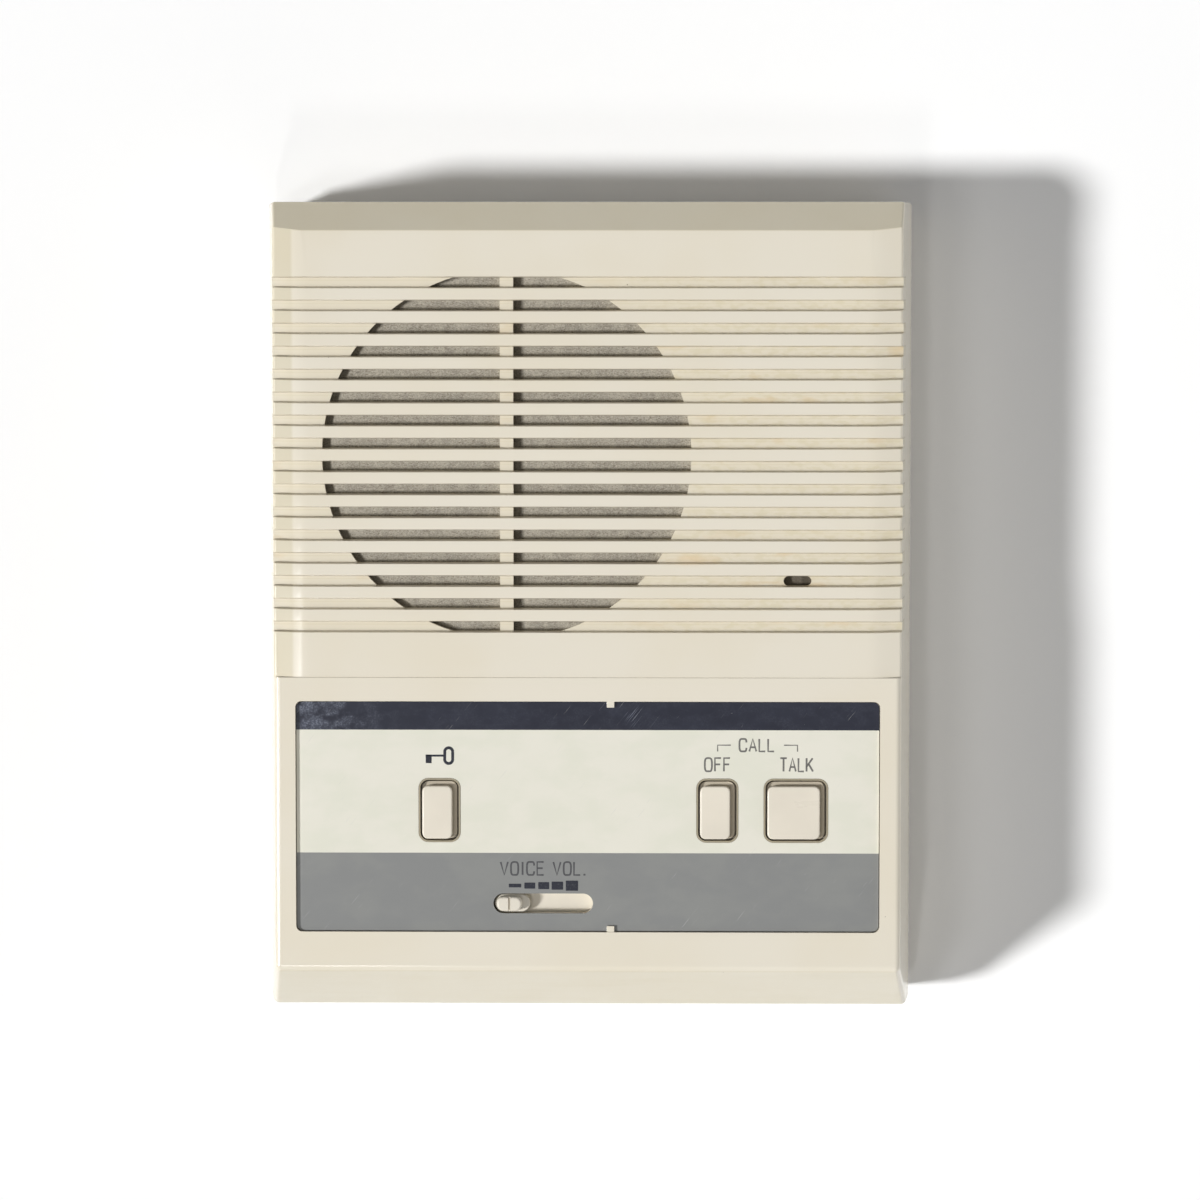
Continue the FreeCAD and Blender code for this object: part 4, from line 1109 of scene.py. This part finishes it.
    def soften(self, width: float, degrees: float, keep: Test) -> "Piece":
        """Rounds every sharp edge that is long enough to take it.

        Args:
            width: Width of the rounding.
            degrees: Edges that turn more than this are rounded.
            keep: Test of an edge's two ends that leaves it sharp.

        Returns:
            The piece.
        """
        self.edit("EDGE")
        bpy.ops.mesh.edges_select_sharp(sharpness=math.radians(degrees))
        mesh = bmesh.from_edit_mesh(self.obj.data)
        for edge in [e for e in mesh.edges if e.select and keep(*(v.co for v in e.verts))]:
            edge.select_set(False)
        bmesh.update_edit_mesh(self.obj.data)
        rounding = {"segments": 2, "affect": "EDGES", "clamp_overlap": False, "miter_outer": "ARC"}
        bpy.ops.mesh.bevel(offset=width, **rounding)
        return self

    def done(
        self, body: str, slot: str, material: bpy.types.Material, *stands_for: str
    ) -> bpy.types.Object:
        """Finishes the piece.

        Args:
            body: Body that it moves with.
            slot: Material slot of the record; not used.
            material: Its finish.
            stands_for: Construction nodes that it replaces.

        Returns:
            The object.
        """
        self.activate()
        self.obj.scale = (MM,) * 3
        bpy.ops.object.transform_apply(scale=True)
        self.obj.data.materials.clear()
        self.obj.data.materials.append(material)
        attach(self.obj, body)
        if stands_for:
            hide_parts(*stands_for)
        report(self.obj)
        return self.obj


def report(obj: bpy.types.Object) -> None:
    """Reports a piece and its number of faces."""
    LOG.info("%s: %d faces", obj.name, len(obj.data.polygons))


def dress_nodes(material: bpy.types.Material, *nodes: str) -> None:
    """Gives construction nodes that stay their finish.

    Args:
        material: The finish.
        nodes: Names of the nodes.
    """
    for node in nodes:
        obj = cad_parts[node]
        obj.data.materials.clear()
        obj.data.materials.append(material)
        report(obj)


# ------------------------------------------------------------------ studio
@dataclass(frozen=True)
class Lamp:
    """Rectangular lamp that points at the face."""

    name: str
    place: Place
    size: Pair
    power: float


@dataclass
class Studio:
    """Pale floor, light from the left, two small lamps for the gloss, and the camera over the face."""

    eye: Place = (24.5, 91.0, 1246.0)
    aim: Place = (3.08, 3.22, 46.0)
    lens: float = 148.17
    sensor: float = 36.0
    floor_size: float = 8.0
    floor_tone: Colour = (0.8, 0.8, 0.8, 1.0)
    key_from: Place = (-1.04, -0.23, 1.0)
    key_strength: float = 3.04
    key_spread: float = math.radians(8.0)
    lamps: tuple["Lamp", ...] = (
        Lamp("side_lamp", (-448.0, -190.0, 1346.0), (126.0, 260.0), 1.35),
        Lamp("low_lamp", (-160.0, -700.0, 1290.0), (45.0, 200.0), 1.3),
    )
    zenith: float = 0.144
    horizon: float = 1.45
    fill_right: float = 0.8
    fill_near: float = 0.28

    def build(self) -> None:
        """Sets up the floor, the lights, the world and the camera."""
        self.floor()
        self.lights()
        self.world()
        self.camera()

    def camera(self) -> None:
        """Camera that looks down at the face, with the case's top edge upwards."""
        data = bpy.data.cameras.new("camera")
        data.lens, data.sensor_width = self.lens, self.sensor
        back = (Vector(self.eye) - Vector(self.aim)).normalized()
        right = Vector((0, 1, 0)).cross(back).normalized()
        turn = Matrix((right, back.cross(right), back)).transposed().to_4x4()
        obj = bpy.data.objects.new("camera", data)
        obj.matrix_world = Matrix.Translation(Vector(self.eye) * MM) @ turn
        bpy.context.scene.collection.objects.link(obj)
        bpy.context.scene.camera = obj

    def floor(self) -> None:
        """Wide pale floor that keeps the object's shadow."""
        Piece.clear()
        bpy.ops.mesh.primitive_plane_add(size=self.floor_size)
        obj = bpy.context.object
        obj.name = "floor"
        r = Recipe("floor_paint")
        tone = r.mix(r.seen(), self.floor_tone, (1.0, 1.0, 1.0, 1.0))
        r.finish(tone, 0.9, specular=0.0)
        obj.data.materials.append(r.material)

    def lights(self) -> None:
        """Sun from the left, and two small lamps that show as streaks on the gloss."""
        sun = bpy.data.lights.new("key", "SUN")
        sun.energy, sun.angle = self.key_strength, self.key_spread
        self.aim_light(sun, tuple(c * 1000 for c in self.key_from))
        for lamp in self.lamps:
            data = bpy.data.lights.new(lamp.name, "AREA")
            data.energy, data.shape = lamp.power, "RECTANGLE"
            data.size, data.size_y = lamp.size[0] * MM, lamp.size[1] * MM
            self.aim_light(data, lamp.place)

    def aim_light(self, data: bpy.types.Light, place: Place) -> None:
        """Adds a light that points at the face.

        Args:
            data: The light.
            place: Its place, in millimetres.
        """
        obj = bpy.data.objects.new(data.name, data)
        toward = Vector(place) - Vector(self.aim)
        obj.rotation_euler = toward.to_track_quat("Z", "Y").to_euler()
        obj.location = Vector(place) * MM
        bpy.context.scene.collection.objects.link(obj)

    def world(self) -> None:
        """Light from all round, dim overhead and bright low down, white where seen or mirrored."""
        world = bpy.data.worlds.new("surroundings")
        r = Recipe("surroundings", world)
        toward = r.node("ShaderNodeSeparateXYZ", inputs={"Vector": r.coordinates["Generated"]})
        across, along, up = toward["X"], toward["Y"], toward["Z"]
        share = 1 + self.fill_right * across - self.fill_near * along - along * along
        low = (1 - up * up) ** 4 * share.most(0.0)
        level = self.zenith + (self.horizon - self.zenith) * low
        strength = level + (1 - level) * r.seen()
        glow = r.node("ShaderNodeBackground", inputs={"Strength": strength})["Background"]
        r.node("ShaderNodeOutputWorld", inputs={"Surface": glow})
        bpy.context.scene.world = world
        bpy.context.scene.view_settings.view_transform = "Standard"


# ------------------------------------------------------------------ sub-assemblies
@dataclass
class Housing:
    """Front and rear case, their screws and the feet."""

    edge: float = 0.12
    face_low: float = 43.9
    shortest: float = 0.5

    def stays_sharp(self, start: Vector, end: Vector) -> bool:
        """Whether an edge lies below the face or is too short to be rounded."""
        return min(start.z, end.z) < self.face_low or (start - end).length < self.shortest

    def build(self) -> None:
        """Models both shells and dresses what holds them."""
        front = Piece.copy_of("front_shell", "front_case")
        front.soften(self.edge, 35.0, self.stays_sharp).smooth()
        front.done("case", "case_plastic", CasePlastic().dress("case_plastic"), "front_case")
        rear = Piece.copy_of("rear_shell", "rear_case")
        rear.smooth()
        rear_finish = Moulding(paint(219, 211, 192), roughness=0.5, grain=0.012, clouds=0.05)
        rear.done("case", "rear_plastic", rear_finish.dress("rear_plastic"), "rear_case")
        dress_nodes(Rubber(paint(48, 47, 46)).dress("rubber_feet"), "rubber_feet")
        zinc = BareMetal(paint(205, 205, 200), Lay.SPANGLED, 0.3).dress("zinc_screw")
        dress_nodes(zinc, "case_screws", "board_screws", "speaker_clamp_screws")


@dataclass
class Pen:
    """Draws thin printed signs as flattened strokes on the label sheet."""

    surface: float
    width: float
    ink_height: float = 0.03
    gap: float = 0.42
    ROUND: ClassVar[str] = "CO"
    SHARES: ClassVar[dict[str, float]] = {"I": 0.35, ".": 0.35, " ": 0.5, "L": 0.85, "F": 0.85, "E": 0.88}
    STROKES: ClassVar[dict[str, list[list[Pair]]]] = {
        "A": [[(0, 0), (0.5, 1), (1, 0)], [(0.18, 0.33), (0.82, 0.33)]],
        "C": [
            [(1, 0.72), (0.98, 0.9), (0.85, 1), (0.52, 1), (0.14, 1), (0, 0.78), (0, 0.5)]
            + [(0, 0.22), (0.14, 0), (0.52, 0), (0.85, 0), (0.98, 0.1), (1, 0.28)]
        ],
        "E": [[(1, 1), (0, 1), (0, 0), (1, 0)], [(0, 0.52), (0.86, 0.52)]],
        "F": [[(1, 1), (0, 1), (0, 0)], [(0, 0.52), (0.86, 0.52)]],
        "I": [[(0.5, 0), (0.5, 1)]],
        "K": [[(0, 0), (0, 1)], [(0.95, 1), (0, 0.36)], [(0.3, 0.58), (1, 0)]],
        "L": [[(0, 1), (0, 0), (1, 0)]],
        "O": [
            [(0.5, 1), (0.12, 1), (0, 0.75), (0, 0.5), (0, 0.25), (0.12, 0), (0.5, 0)]
            + [(0.88, 0), (1, 0.25), (1, 0.5), (1, 0.75), (0.88, 1), (0.5, 1)]
        ],
        "T": [[(0, 1), (1, 1)], [(0.5, 1), (0.5, 0)]],
        "V": [[(0, 1), (0.5, 0), (1, 1)]],
        ".": [[(0.1, 0.03), (0.9, 0.03)]],
    }

    def strokes(self, name: str, paths: Sequence[tuple[bool, list[Pair]]], width: float) -> Piece:
        """Draws strokes of one width.

        Args:
            name: Name of the piece.
            paths: For each stroke, whether it is rounded, and its points in millimetres.
            width: Width of the strokes.

        Returns:
            The drawn piece.
        """
        Piece.clear()
        curve = bpy.data.curves.new(name, "CURVE")
        curve.dimensions = "3D"
        curve.bevel_depth, curve.bevel_resolution = width / 2, 1
        curve.use_fill_caps = True
        for rounded, points in paths:
            spline = curve.splines.new("NURBS" if rounded else "POLY")
            spline.points.add(len(points) - 1)
            for point, (x, y) in zip(spline.points, points):
                point.co = (x, y, 0, 1)
            if rounded:
                spline.order_u, spline.use_endpoint_u, spline.resolution_u = 3, True, 4
        obj = bpy.data.objects.new(name, curve)
        bpy.context.scene.collection.objects.link(obj)
        obj.select_set(True)
        bpy.context.view_layer.objects.active = obj
        bpy.ops.object.convert(target="MESH")
        piece = Piece(name)
        piece.edit("VERT", "SELECT")
        piece.resize((1, 1, self.ink_height / width), (0, 0, 0))
        piece.move((0, 0, self.surface + self.ink_height / 2))
        bpy.ops.mesh.normals_make_consistent(inside=False)
        return piece

    def word(self, name: str, text: str, across: Pair, up: Pair) -> Piece:
        """Draws a word to fill a box.

        Args:
            name: Name of the piece.
            text: The word.
            across: Left and right edge of the box.
            up: Lower and upper edge of the box.

        Returns:
            The drawn word.
        """
        shares = [self.SHARES.get(letter, 1.0) for letter in text]
        unit = (across[1] - across[0] - self.width) / (sum(shares) + self.gap * (len(text) - 1))
        x, low, high = across[0] + self.width / 2, up[0] + self.width / 2, up[1] - self.width / 2
        paths = []
        for letter, share in zip(text, shares):
            for points in self.STROKES.get(letter, []):
                spread = [(x + u * share * unit, low + v * (high - low)) for u, v in points]
                paths.append((letter in self.ROUND, spread))
            x += (share + self.gap) * unit
        return self.strokes(name, paths, self.width)


@dataclass
class LabelPlate:
    """Glossy printed sheet in the control recess, with the signs printed on it."""

    surface: float = 45.1
    edge: float = 0.12
    middle_y: float = -50.0
    openings_reach: float = 62.0
    openings_stretch: float = 2.4
    ink: float = 0.45
    call_line: Pair = (-34.1, -30.6)
    name_line: Pair = (-39.0, -35.3)
    volume_line: Pair = (-64.6, -60.95)
    bracket_level: float = -32.35
    bracket_foot: float = -33.9
    bracket_spans: tuple[Pair, ...] = ((35.0, 31.8), (48.0, 51.3))
    bow_middle: Pair = (-33.95, -35.05)
    bow_reach: float = 0.98
    bow_straight: float = 0.95
    shaft: Pair = (-39.6, -35.0)
    teeth: tuple[float, ...] = (-39.2, -38.85, -38.5)
    teeth_ends: Pair = (-35.0, -36.9)
    bracket_width: float = 0.3
    bow_width: float = 0.72
    bow_steps: int = 24
    shaft_width: float = 0.5
    bit_width: float = 0.75
    bar_level: float = -67.0
    bar_widths: tuple[Pair, ...] = (
        (-19.29, -16.23), (-15.47, -12.8), (-12.06, -9.37), (-8.8, -5.96), (-5.32, -2.31)
    )
    bar_heights: tuple[float, ...] = (0.9, 1.5, 1.75, 2.0, 2.5)
    bar_corner: float = 0.12
    bar_edge: float = 0.08

    def build(self) -> None:
        """Models the sheet and prints its signs."""
        sheet = Piece.copy_of("label_sheet", "label_plate")
        sheet.soften(self.edge, 40.0, lambda a, b: self.by_opening(a)).smooth()
        sheet.done("case", "printed_label", PrintedSheet().dress("printed_label"), "label_plate")
        grey = PrintInk(paint(112, 110, 106)).dress("grey_ink")
        slate = PrintInk(paint(78, 78, 80)).dress("slate_ink")
        black = PrintInk(paint(34, 36, 46)).dress("dark_ink")
        pen = Pen(self.surface, self.ink)
        signs = (
            (pen.word("call_legend", "CALL", (36.9, 45.8), self.call_line), grey),
            (pen.word("off_legend", "OFF", (28.45, 35.05), self.name_line), grey),
            (pen.word("talk_legend", "TALK", (46.9, 55.3), self.name_line), grey),
            (self.brackets(pen), grey),
            (pen.word("volume_legend", "VOICE VOL.", (-21.5, -0.2), self.volume_line), slate),
            (self.key(pen), black),
        )
        for sign, ink in signs:
            sign.smooth(60.0, weighted=False).done("case", "printed_label", ink)
        self.bars(pen.ink_height).done("case", "printed_label", black)

    def by_opening(self, place: Vector) -> bool:
        """Whether a place is among the sheet's openings, away from its outer edge."""
        across, along = abs(place.x), abs(place.y - self.middle_y) * self.openings_stretch
        return max(across, along) < self.openings_reach

    def brackets(self, pen: Pen) -> Piece:
        """Brackets that tie CALL to the two buttons.

        Args:
            pen: Draws them.

        Returns:
            The two brackets in one piece.
        """
        level, foot = self.bracket_level, self.bracket_foot
        sides = [[(inner, level), (outer, level), (outer, foot)] for inner, outer in self.bracket_spans]
        return pen.strokes("call_brackets", [(False, side) for side in sides], self.bracket_width)

    def key(self, pen: Pen) -> Piece:
        """Key sign over the door button.

        Args:
            pen: Draws it.

        Returns:
            An oval bow, a thin shaft and a square bit in one piece.
        """
        x, y = self.bow_middle
        bow = []
        for step in range(self.bow_steps + 1):
            angle = 2 * math.pi * step / self.bow_steps
            lift = self.bow_straight if angle < math.pi else -self.bow_straight
            across, along = self.bow_reach * math.cos(angle), self.bow_reach * math.sin(angle)
            bow.append((x + across, y + lift + along))
        ring = pen.strokes("key_sign", [(False, bow + bow[:1])], self.bow_width)
        line = [(end, y) for end in self.shaft]
        shaft = pen.strokes("key_shaft", [(False, line)], self.shaft_width)
        teeth = [(False, [(tooth, end) for end in self.teeth_ends]) for tooth in self.teeth]
        return ring.join([shaft, pen.strokes("key_bit", teeth, self.bit_width)])

    def bars(self, thickness: float) -> Piece:
        """Five bars that grow with the volume.

        Args:
            thickness: Thickness of the ink.

        Returns:
            The bars in one piece.
        """
        made = []
        for (left, right), height in zip(self.bar_widths, self.bar_heights):
            low = (left, self.bar_level - height / 2, self.surface)
            high = (right, self.bar_level + height / 2, self.surface + thickness)
            bar = Piece.block("volume_bars", low, high).round_corners(self.bar_corner, 2)
            made.append(bar.faces(lambda middle, normal: normal.z > 0.9).inset(self.bar_edge))
        return made[0].join(made[1:])


@dataclass
class PushButton:
    """Cream push button: a cap that stands on a ledge, wider at its right and far side, and a stem."""

    key: str
    height: float = 14.9
    gap: float = 0.45
    top: float = 46.0
    rim: float = 0.4
    ledge: float = 44.0
    ledge_right: float = 1.1
    ledge_far: float = 0.95
    step: float = 0.03
    flange_top: float = 41.9
    flange_low: float = 40.6
    overlap: float = 1.2
    corner: float = 3.2
    stem_radius: float = 1.6
    stem_low: float = 36.86
    stem_root: float = 0.4
    stem_edge: float = 0.2
    stem_corners: int = 48

    def build(self, cream: bpy.types.Material) -> None:
        """Models the button in one piece.

        Args:
            cream: Its finish.
        """
        x, well = KEY_WELLS[self.key]
        half = (well / 2 + self.overlap, self.height / 2 + self.overlap)
        piece = Piece.slab(f"{self.key}_cap", (x, KEY_ROW), half, self.flange_low, self.flange_top)
        piece.round_corners(self.corner, 6)
        piece.faces(lambda middle, normal: normal.z > 0.9).inset(self.overlap + self.gap)
        cap_x, cap_y = well / 2 - self.gap, self.height / 2 - self.gap
        piece.extrude(self.ledge - self.flange_top).inset(self.step)
        shares = (1 - self.ledge_right / (2 * cap_x), 1 - self.ledge_far / (2 * cap_y), 1)
        piece.resize(shares, (x - cap_x, KEY_ROW - cap_y, self.ledge))
        piece.extrude(self.top - self.ledge)
        piece.round_rim(self.top, self.rim, 4)
        stem_top = self.flange_low + self.stem_root
        size = (self.stem_radius, self.stem_radius, stem_top - self.stem_low)
        stem = Piece.start(
            f"{self.key}_stem",
            bpy.ops.mesh.primitive_cylinder_add,
            vertices=self.stem_corners,
            radius=1,
            depth=1,
            location=(x, KEY_ROW, (self.stem_low + stem_top) / 2),
            scale=size,
        )
        stem.edges(lambda a, b: max(a.z, b.z) < self.stem_low + 0.01).bevel(self.stem_edge, 2)
        piece.combine(stem).smooth(35.0)
        piece.done(f"{self.key}_key", "button_plastic", cream, f"{self.key}_button")


@dataclass
class ReturnSpring:
    """Coil that stands on a switch under a button's flange."""

    key: str
    foot: float = 34.5
    seat: float = 40.6
    travel: float = 2.0

    def build(self, wire: bpy.types.Material) -> None:
        """Models the coil.

        Args:
            wire: Its finish.
        """
        coil = Piece.copy_of(f"{self.key}_coil", f"{self.key}_spring").smooth(50.0, weighted=False)
        obj = coil.done("case", "spring_steel", wire, f"{self.key}_spring")
        anchor = (KEY_WELLS[self.key][0] * MM, KEY_ROW * MM, self.foot * MM)
        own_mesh(obj)


@dataclass
class Controls:
    """The three push buttons with their switches, and the volume slider."""

    # Height below which the buttons' colour is darkened as painted shade.
    painted_shade_below: float = 44.3
    slider: Pair = (-18.35, -71.4)
    length: float = 8.6
    width: float = 4.3
    base_top: float = 44.3
    base_rim: float = 0.25
    base_step: float = 0.1
    seam: float = 0.2
    shutter_x: Pair = (-39.55, 2.85)
    shutter_half: float = 3.95
    shutter_low: float = 41.1
    shutter_top: float = 41.9
    grip_length: float = 6.4
    grip_height: float = 2.4
    grip_offset: float = -0.8
    grip_rim: float = 0.5
    grip_taper: Place = (0.94, 0.93, 1)
    index_half: Pair = (0.25, 2.4)
    index_depth: float = 0.5
    fork_half: Pair = (3.25, 1.85)
    fork_depth: float = 3.4
    pocket_half: Pair = (2.05, 0.65)
    pocket_depths: Pair = (4.4, 0.3)
    shutter_corner: float = 0.6
    fork_corner: float = 0.3
    seam_weld: float = 0.05

    def build(self) -> None:
        """Models the buttons and the slider and dresses their mechanism."""
        smooth = Moulding(paint(228, 220, 204), 0.32, 0.002, 0.03, painted_shade_below=self.painted_shade_below)
        cream = smooth.dress("button_plastic")
        wire = BareMetal(paint(190, 190, 190), Lay.ROLLED, 0.22).dress("spring_steel")
        for key in KEY_WELLS:
            PushButton(key).build(cream)
            ReturnSpring(key).build(wire)
        self.volume_slider()
        black = Moulding(paint(58, 58, 61), 0.45, 0.006, 0.12).dress("switch_plastic")
        nylon = Moulding(paint(206, 205, 196), 0.4, 0.003, 0.05).dress("plunger_plastic")
        dress_nodes(black, *(f"{key}_switch" for key in KEY_WELLS))
        dress_nodes(nylon, *(f"{key}_plunger" for key in KEY_WELLS))
        lever = Moulding(paint(54, 54, 56), 0.4, 0.005, 0.1)
        dress_nodes(lever.dress("lever_plastic"), "volume_lever")
        track = BareMetal(paint(186, 186, 180), Lay.SPANGLED, 0.38)
        dress_nodes(track.dress("track_metal"), "volume_track")

    def volume_slider(self) -> None:
        """Models the shutter strip with the grip on it and the fork below."""
        (x, y), seam = self.slider, self.shutter_low + self.seam
        low = (self.shutter_x[0], y - self.shutter_half, self.shutter_low)
        high = (self.shutter_x[1], y + self.shutter_half, self.shutter_top)
        piece = Piece.block("volume_grip", low, high).round_corners(self.shutter_corner, 3)
        piece.combine(self.grip(seam))
        foot = self.shutter_low - self.fork_depth
        fork = Piece.slab("slider_fork", (x, y), self.fork_half, foot, seam)
        ends = (self.shutter_low - depth for depth in self.pocket_depths)
        pocket = Piece.slab("pocket_cutter", (x, y), self.pocket_half, *ends)
        fork.round_corners(self.fork_corner, 2).combine(pocket, "DIFFERENCE")
        piece.combine(fork).smooth(35.0)
        finish = Moulding(paint(226, 219, 204), 0.34, 0.002, 0.03).dress("knob_plastic")
        piece.done("volume_slider", "knob_plastic", finish, "volume_knob")

    def grip(self, seam: float) -> Piece:
        """Base with round ends and the oval grip with its index groove.

        Args:
            seam: Height of its underside.

        Returns:
            Both in one piece.
        """
        (x, y), top = self.slider, self.base_top + self.grip_height
        half = (self.length / 2, self.width / 2)
        base = Piece.slab("slider_base", (x, y), half, seam, self.base_top)
        base.round_corners(half[1] - 0.01, 8).weld(self.seam_weld)
        base.round_rim(self.base_top, self.base_rim, 3)
        base.faces(lambda middle, normal: normal.z > 0.99 and middle.z > self.base_top - 0.01)
        flat = self.length - 2 * (self.base_rim + self.base_step)
        base.inset(self.base_step).resize((self.grip_length / flat, 1, 1), (x, y, self.base_top))
        base.move((self.grip_offset, 0, 0)).extrude(self.grip_height)
        centre = (x + self.grip_offset, y)
        base.resize(self.grip_taper, (*centre, top)).round_rim(top, self.grip_rim, 4)
        depth = self.index_depth
        groove = Piece.slab("index_cutter", centre, self.index_half, top - depth, top + depth)
        return base.combine(groove, "DIFFERENCE")


@dataclass
class Loudspeaker:
    """Loudspeaker behind the slots, with the cloth that the rim holds to the case."""

    cloth_low: float = 41.8
    cloth_radius: float = 47.5
    cloth_thickness: float = 0.4
    slack: float = 0.05
    ripple: float = 12.0
    corners: int = 96
    rings: int = 18

    def build(self) -> None:
        """Makes the cloth and dresses the loudspeaker."""
        self.cloth(Felt().dress("speaker_cloth"))
        finishes = {
            "speaker_gasket": Pulp(paint(112, 99, 80), paint(140, 126, 104)).dress("gasket_card"),
            "speaker_basket": BareMetal(paint(176, 176, 170), Lay.SPANGLED, 0.4).dress("basket_steel"),
            "speaker_cone": Pulp(paint(58, 55, 52), paint(82, 77, 71), 0.35).dress("cone_paper"),
            "speaker_dust_cap": Pulp(paint(50, 50, 50), paint(70, 69, 68), 0.3).dress("dust_cap_paper"),
            "speaker_magnet": Ferrite().dress("ferrite"),
            "speaker_terminals": Pulp(paint(146, 110, 70), paint(124, 88, 52), 0.3).dress("terminal_board"),
            "speaker_clamps": BareMetal(paint(200, 200, 196), Lay.ROLLED, 0.32).dress("clamp_steel"),
            "speaker_wires": Rubber(paint(178, 56, 46), paint(196, 92, 80)).dress("wire_insulation"),
        }
        for node, finish in finishes.items():
            dress_nodes(finish, node)
        turned = BareMetal(paint(188, 188, 182), Lay.TURNED, 0.36, centre=SPEAKER_MIDDLE)
        dress_nodes(turned.dress("plate_steel"), "speaker_front_plate", "speaker_yoke")

    def cloth(self, felt: bpy.types.Material) -> None:
        """Models the round cloth, held by the rim and slack by a hair between the slots.

        Args:
            felt: Its finish.
        """
        middle = (*SPEAKER_MIDDLE, self.cloth_low + self.cloth_thickness / 2)
        disc = {"vertices": self.corners, "radius": self.cloth_radius, "fill_type": "NGON"}
        circle = bpy.ops.mesh.primitive_circle_add
        piece = Piece.start("speaker_fabric", circle, location=middle, **disc)
        for _ in range(self.rings):
            piece.faces(lambda place, normal: (place - Vector(middle)).length < 0.5)
            piece.inset(self.cloth_radius / (self.rings + 1))
        piece.drape(self.ripple, self.cloth_thickness - 2 * self.slack)
        obj = piece.done("case", "speaker_cloth", felt, "speaker_cloth")


@dataclass
class Microphone:
    """Small cloth behind the microphone hole, and the capsule in its boot."""

    cloth: Pair = (14.8, 10.3)
    cloth_middle: float = 42.0
    thickness: float = 0.3
    ripple: float = 6.0
    cuts: int = 11

    def build(self) -> None:
        """Makes the cloth and dresses the capsule and boot."""
        place = (*MICROPHONE_MIDDLE, self.cloth_middle)
        square = bpy.ops.mesh.primitive_plane_add
        piece = Piece.start("microphone_fabric", square, size=1, location=place)
        piece.edit("FACE", "SELECT")
        piece.resize((*self.cloth, 1), place)
        bpy.ops.mesh.subdivide(number_cuts=self.cuts)
        piece.drape(self.ripple, self.thickness)
        felt = Felt(paint(94, 88, 78), 0.36, MICROPHONE_MIDDLE, 12.0).dress("microphone_cloth")
        obj = piece.done("case", "speaker_cloth", felt, "microphone_cloth")
        flat = (self.cloth[0] * MM, self.cloth[1] * MM)
        dress_nodes(Rubber(paint(46, 46, 46)).dress("boot_rubber"), "microphone_boot")
        can = BareMetal(paint(214, 214, 214), Lay.TURNED, 0.28, centre=MICROPHONE_MIDDLE)
        dress_nodes(can.dress("capsule_metal"), "microphone_capsule")


@dataclass
class CircuitBoard:
    """The board and everything soldered to it, with the terminal block on its underside."""

    def build(self) -> None:
        """Dresses the board and its parts."""
        chip = Moulding(paint(38, 38, 40), 0.55, 0.008, 0.15)
        finishes = {
            "main_board": BoardLaminate().dress("board_laminate"),
            "transformer_core": IronStack().dress("core_iron"),
            "transformer_coil": WindingTape().dress("winding"),
            "amplifier_chip": chip.dress("chip_plastic"),
            "filter_capacitors": CapacitorSleeve().dress("capacitor_sleeve"),
            "ceramic_capacitors": Moulding(paint(201, 150, 88), 0.5, 0.03, 0.1).dress("ceramic_disc"),
            "resistors": BandedLacquer().dress("resistor_body"),
            "transistors": chip.dress("transistor_plastic"),
            "diodes": GlassBead().dress("diode_glass"),
            "terminal_block": Moulding(paint(56, 56, 57), 0.5, 0.006, 0.12).dress("terminal_plastic"),
            "terminal_screws": BareMetal(paint(204, 180, 124), Lay.ROLLED, 0.3).dress("terminal_brass"),
        }
        for node, finish in finishes.items():
            dress_nodes(finish, node)


def main() -> None:
    """Builds the station piece by piece."""
    logging.basicConfig(level=logging.INFO, format="%(name)s %(message)s")
    parts = (Studio, Housing, LabelPlate, Controls, Loudspeaker, Microphone, CircuitBoard)
    for part in parts:
        LOG.info("%s", part.__name__)
        part().build()


if __name__ == "__main__":
    main()
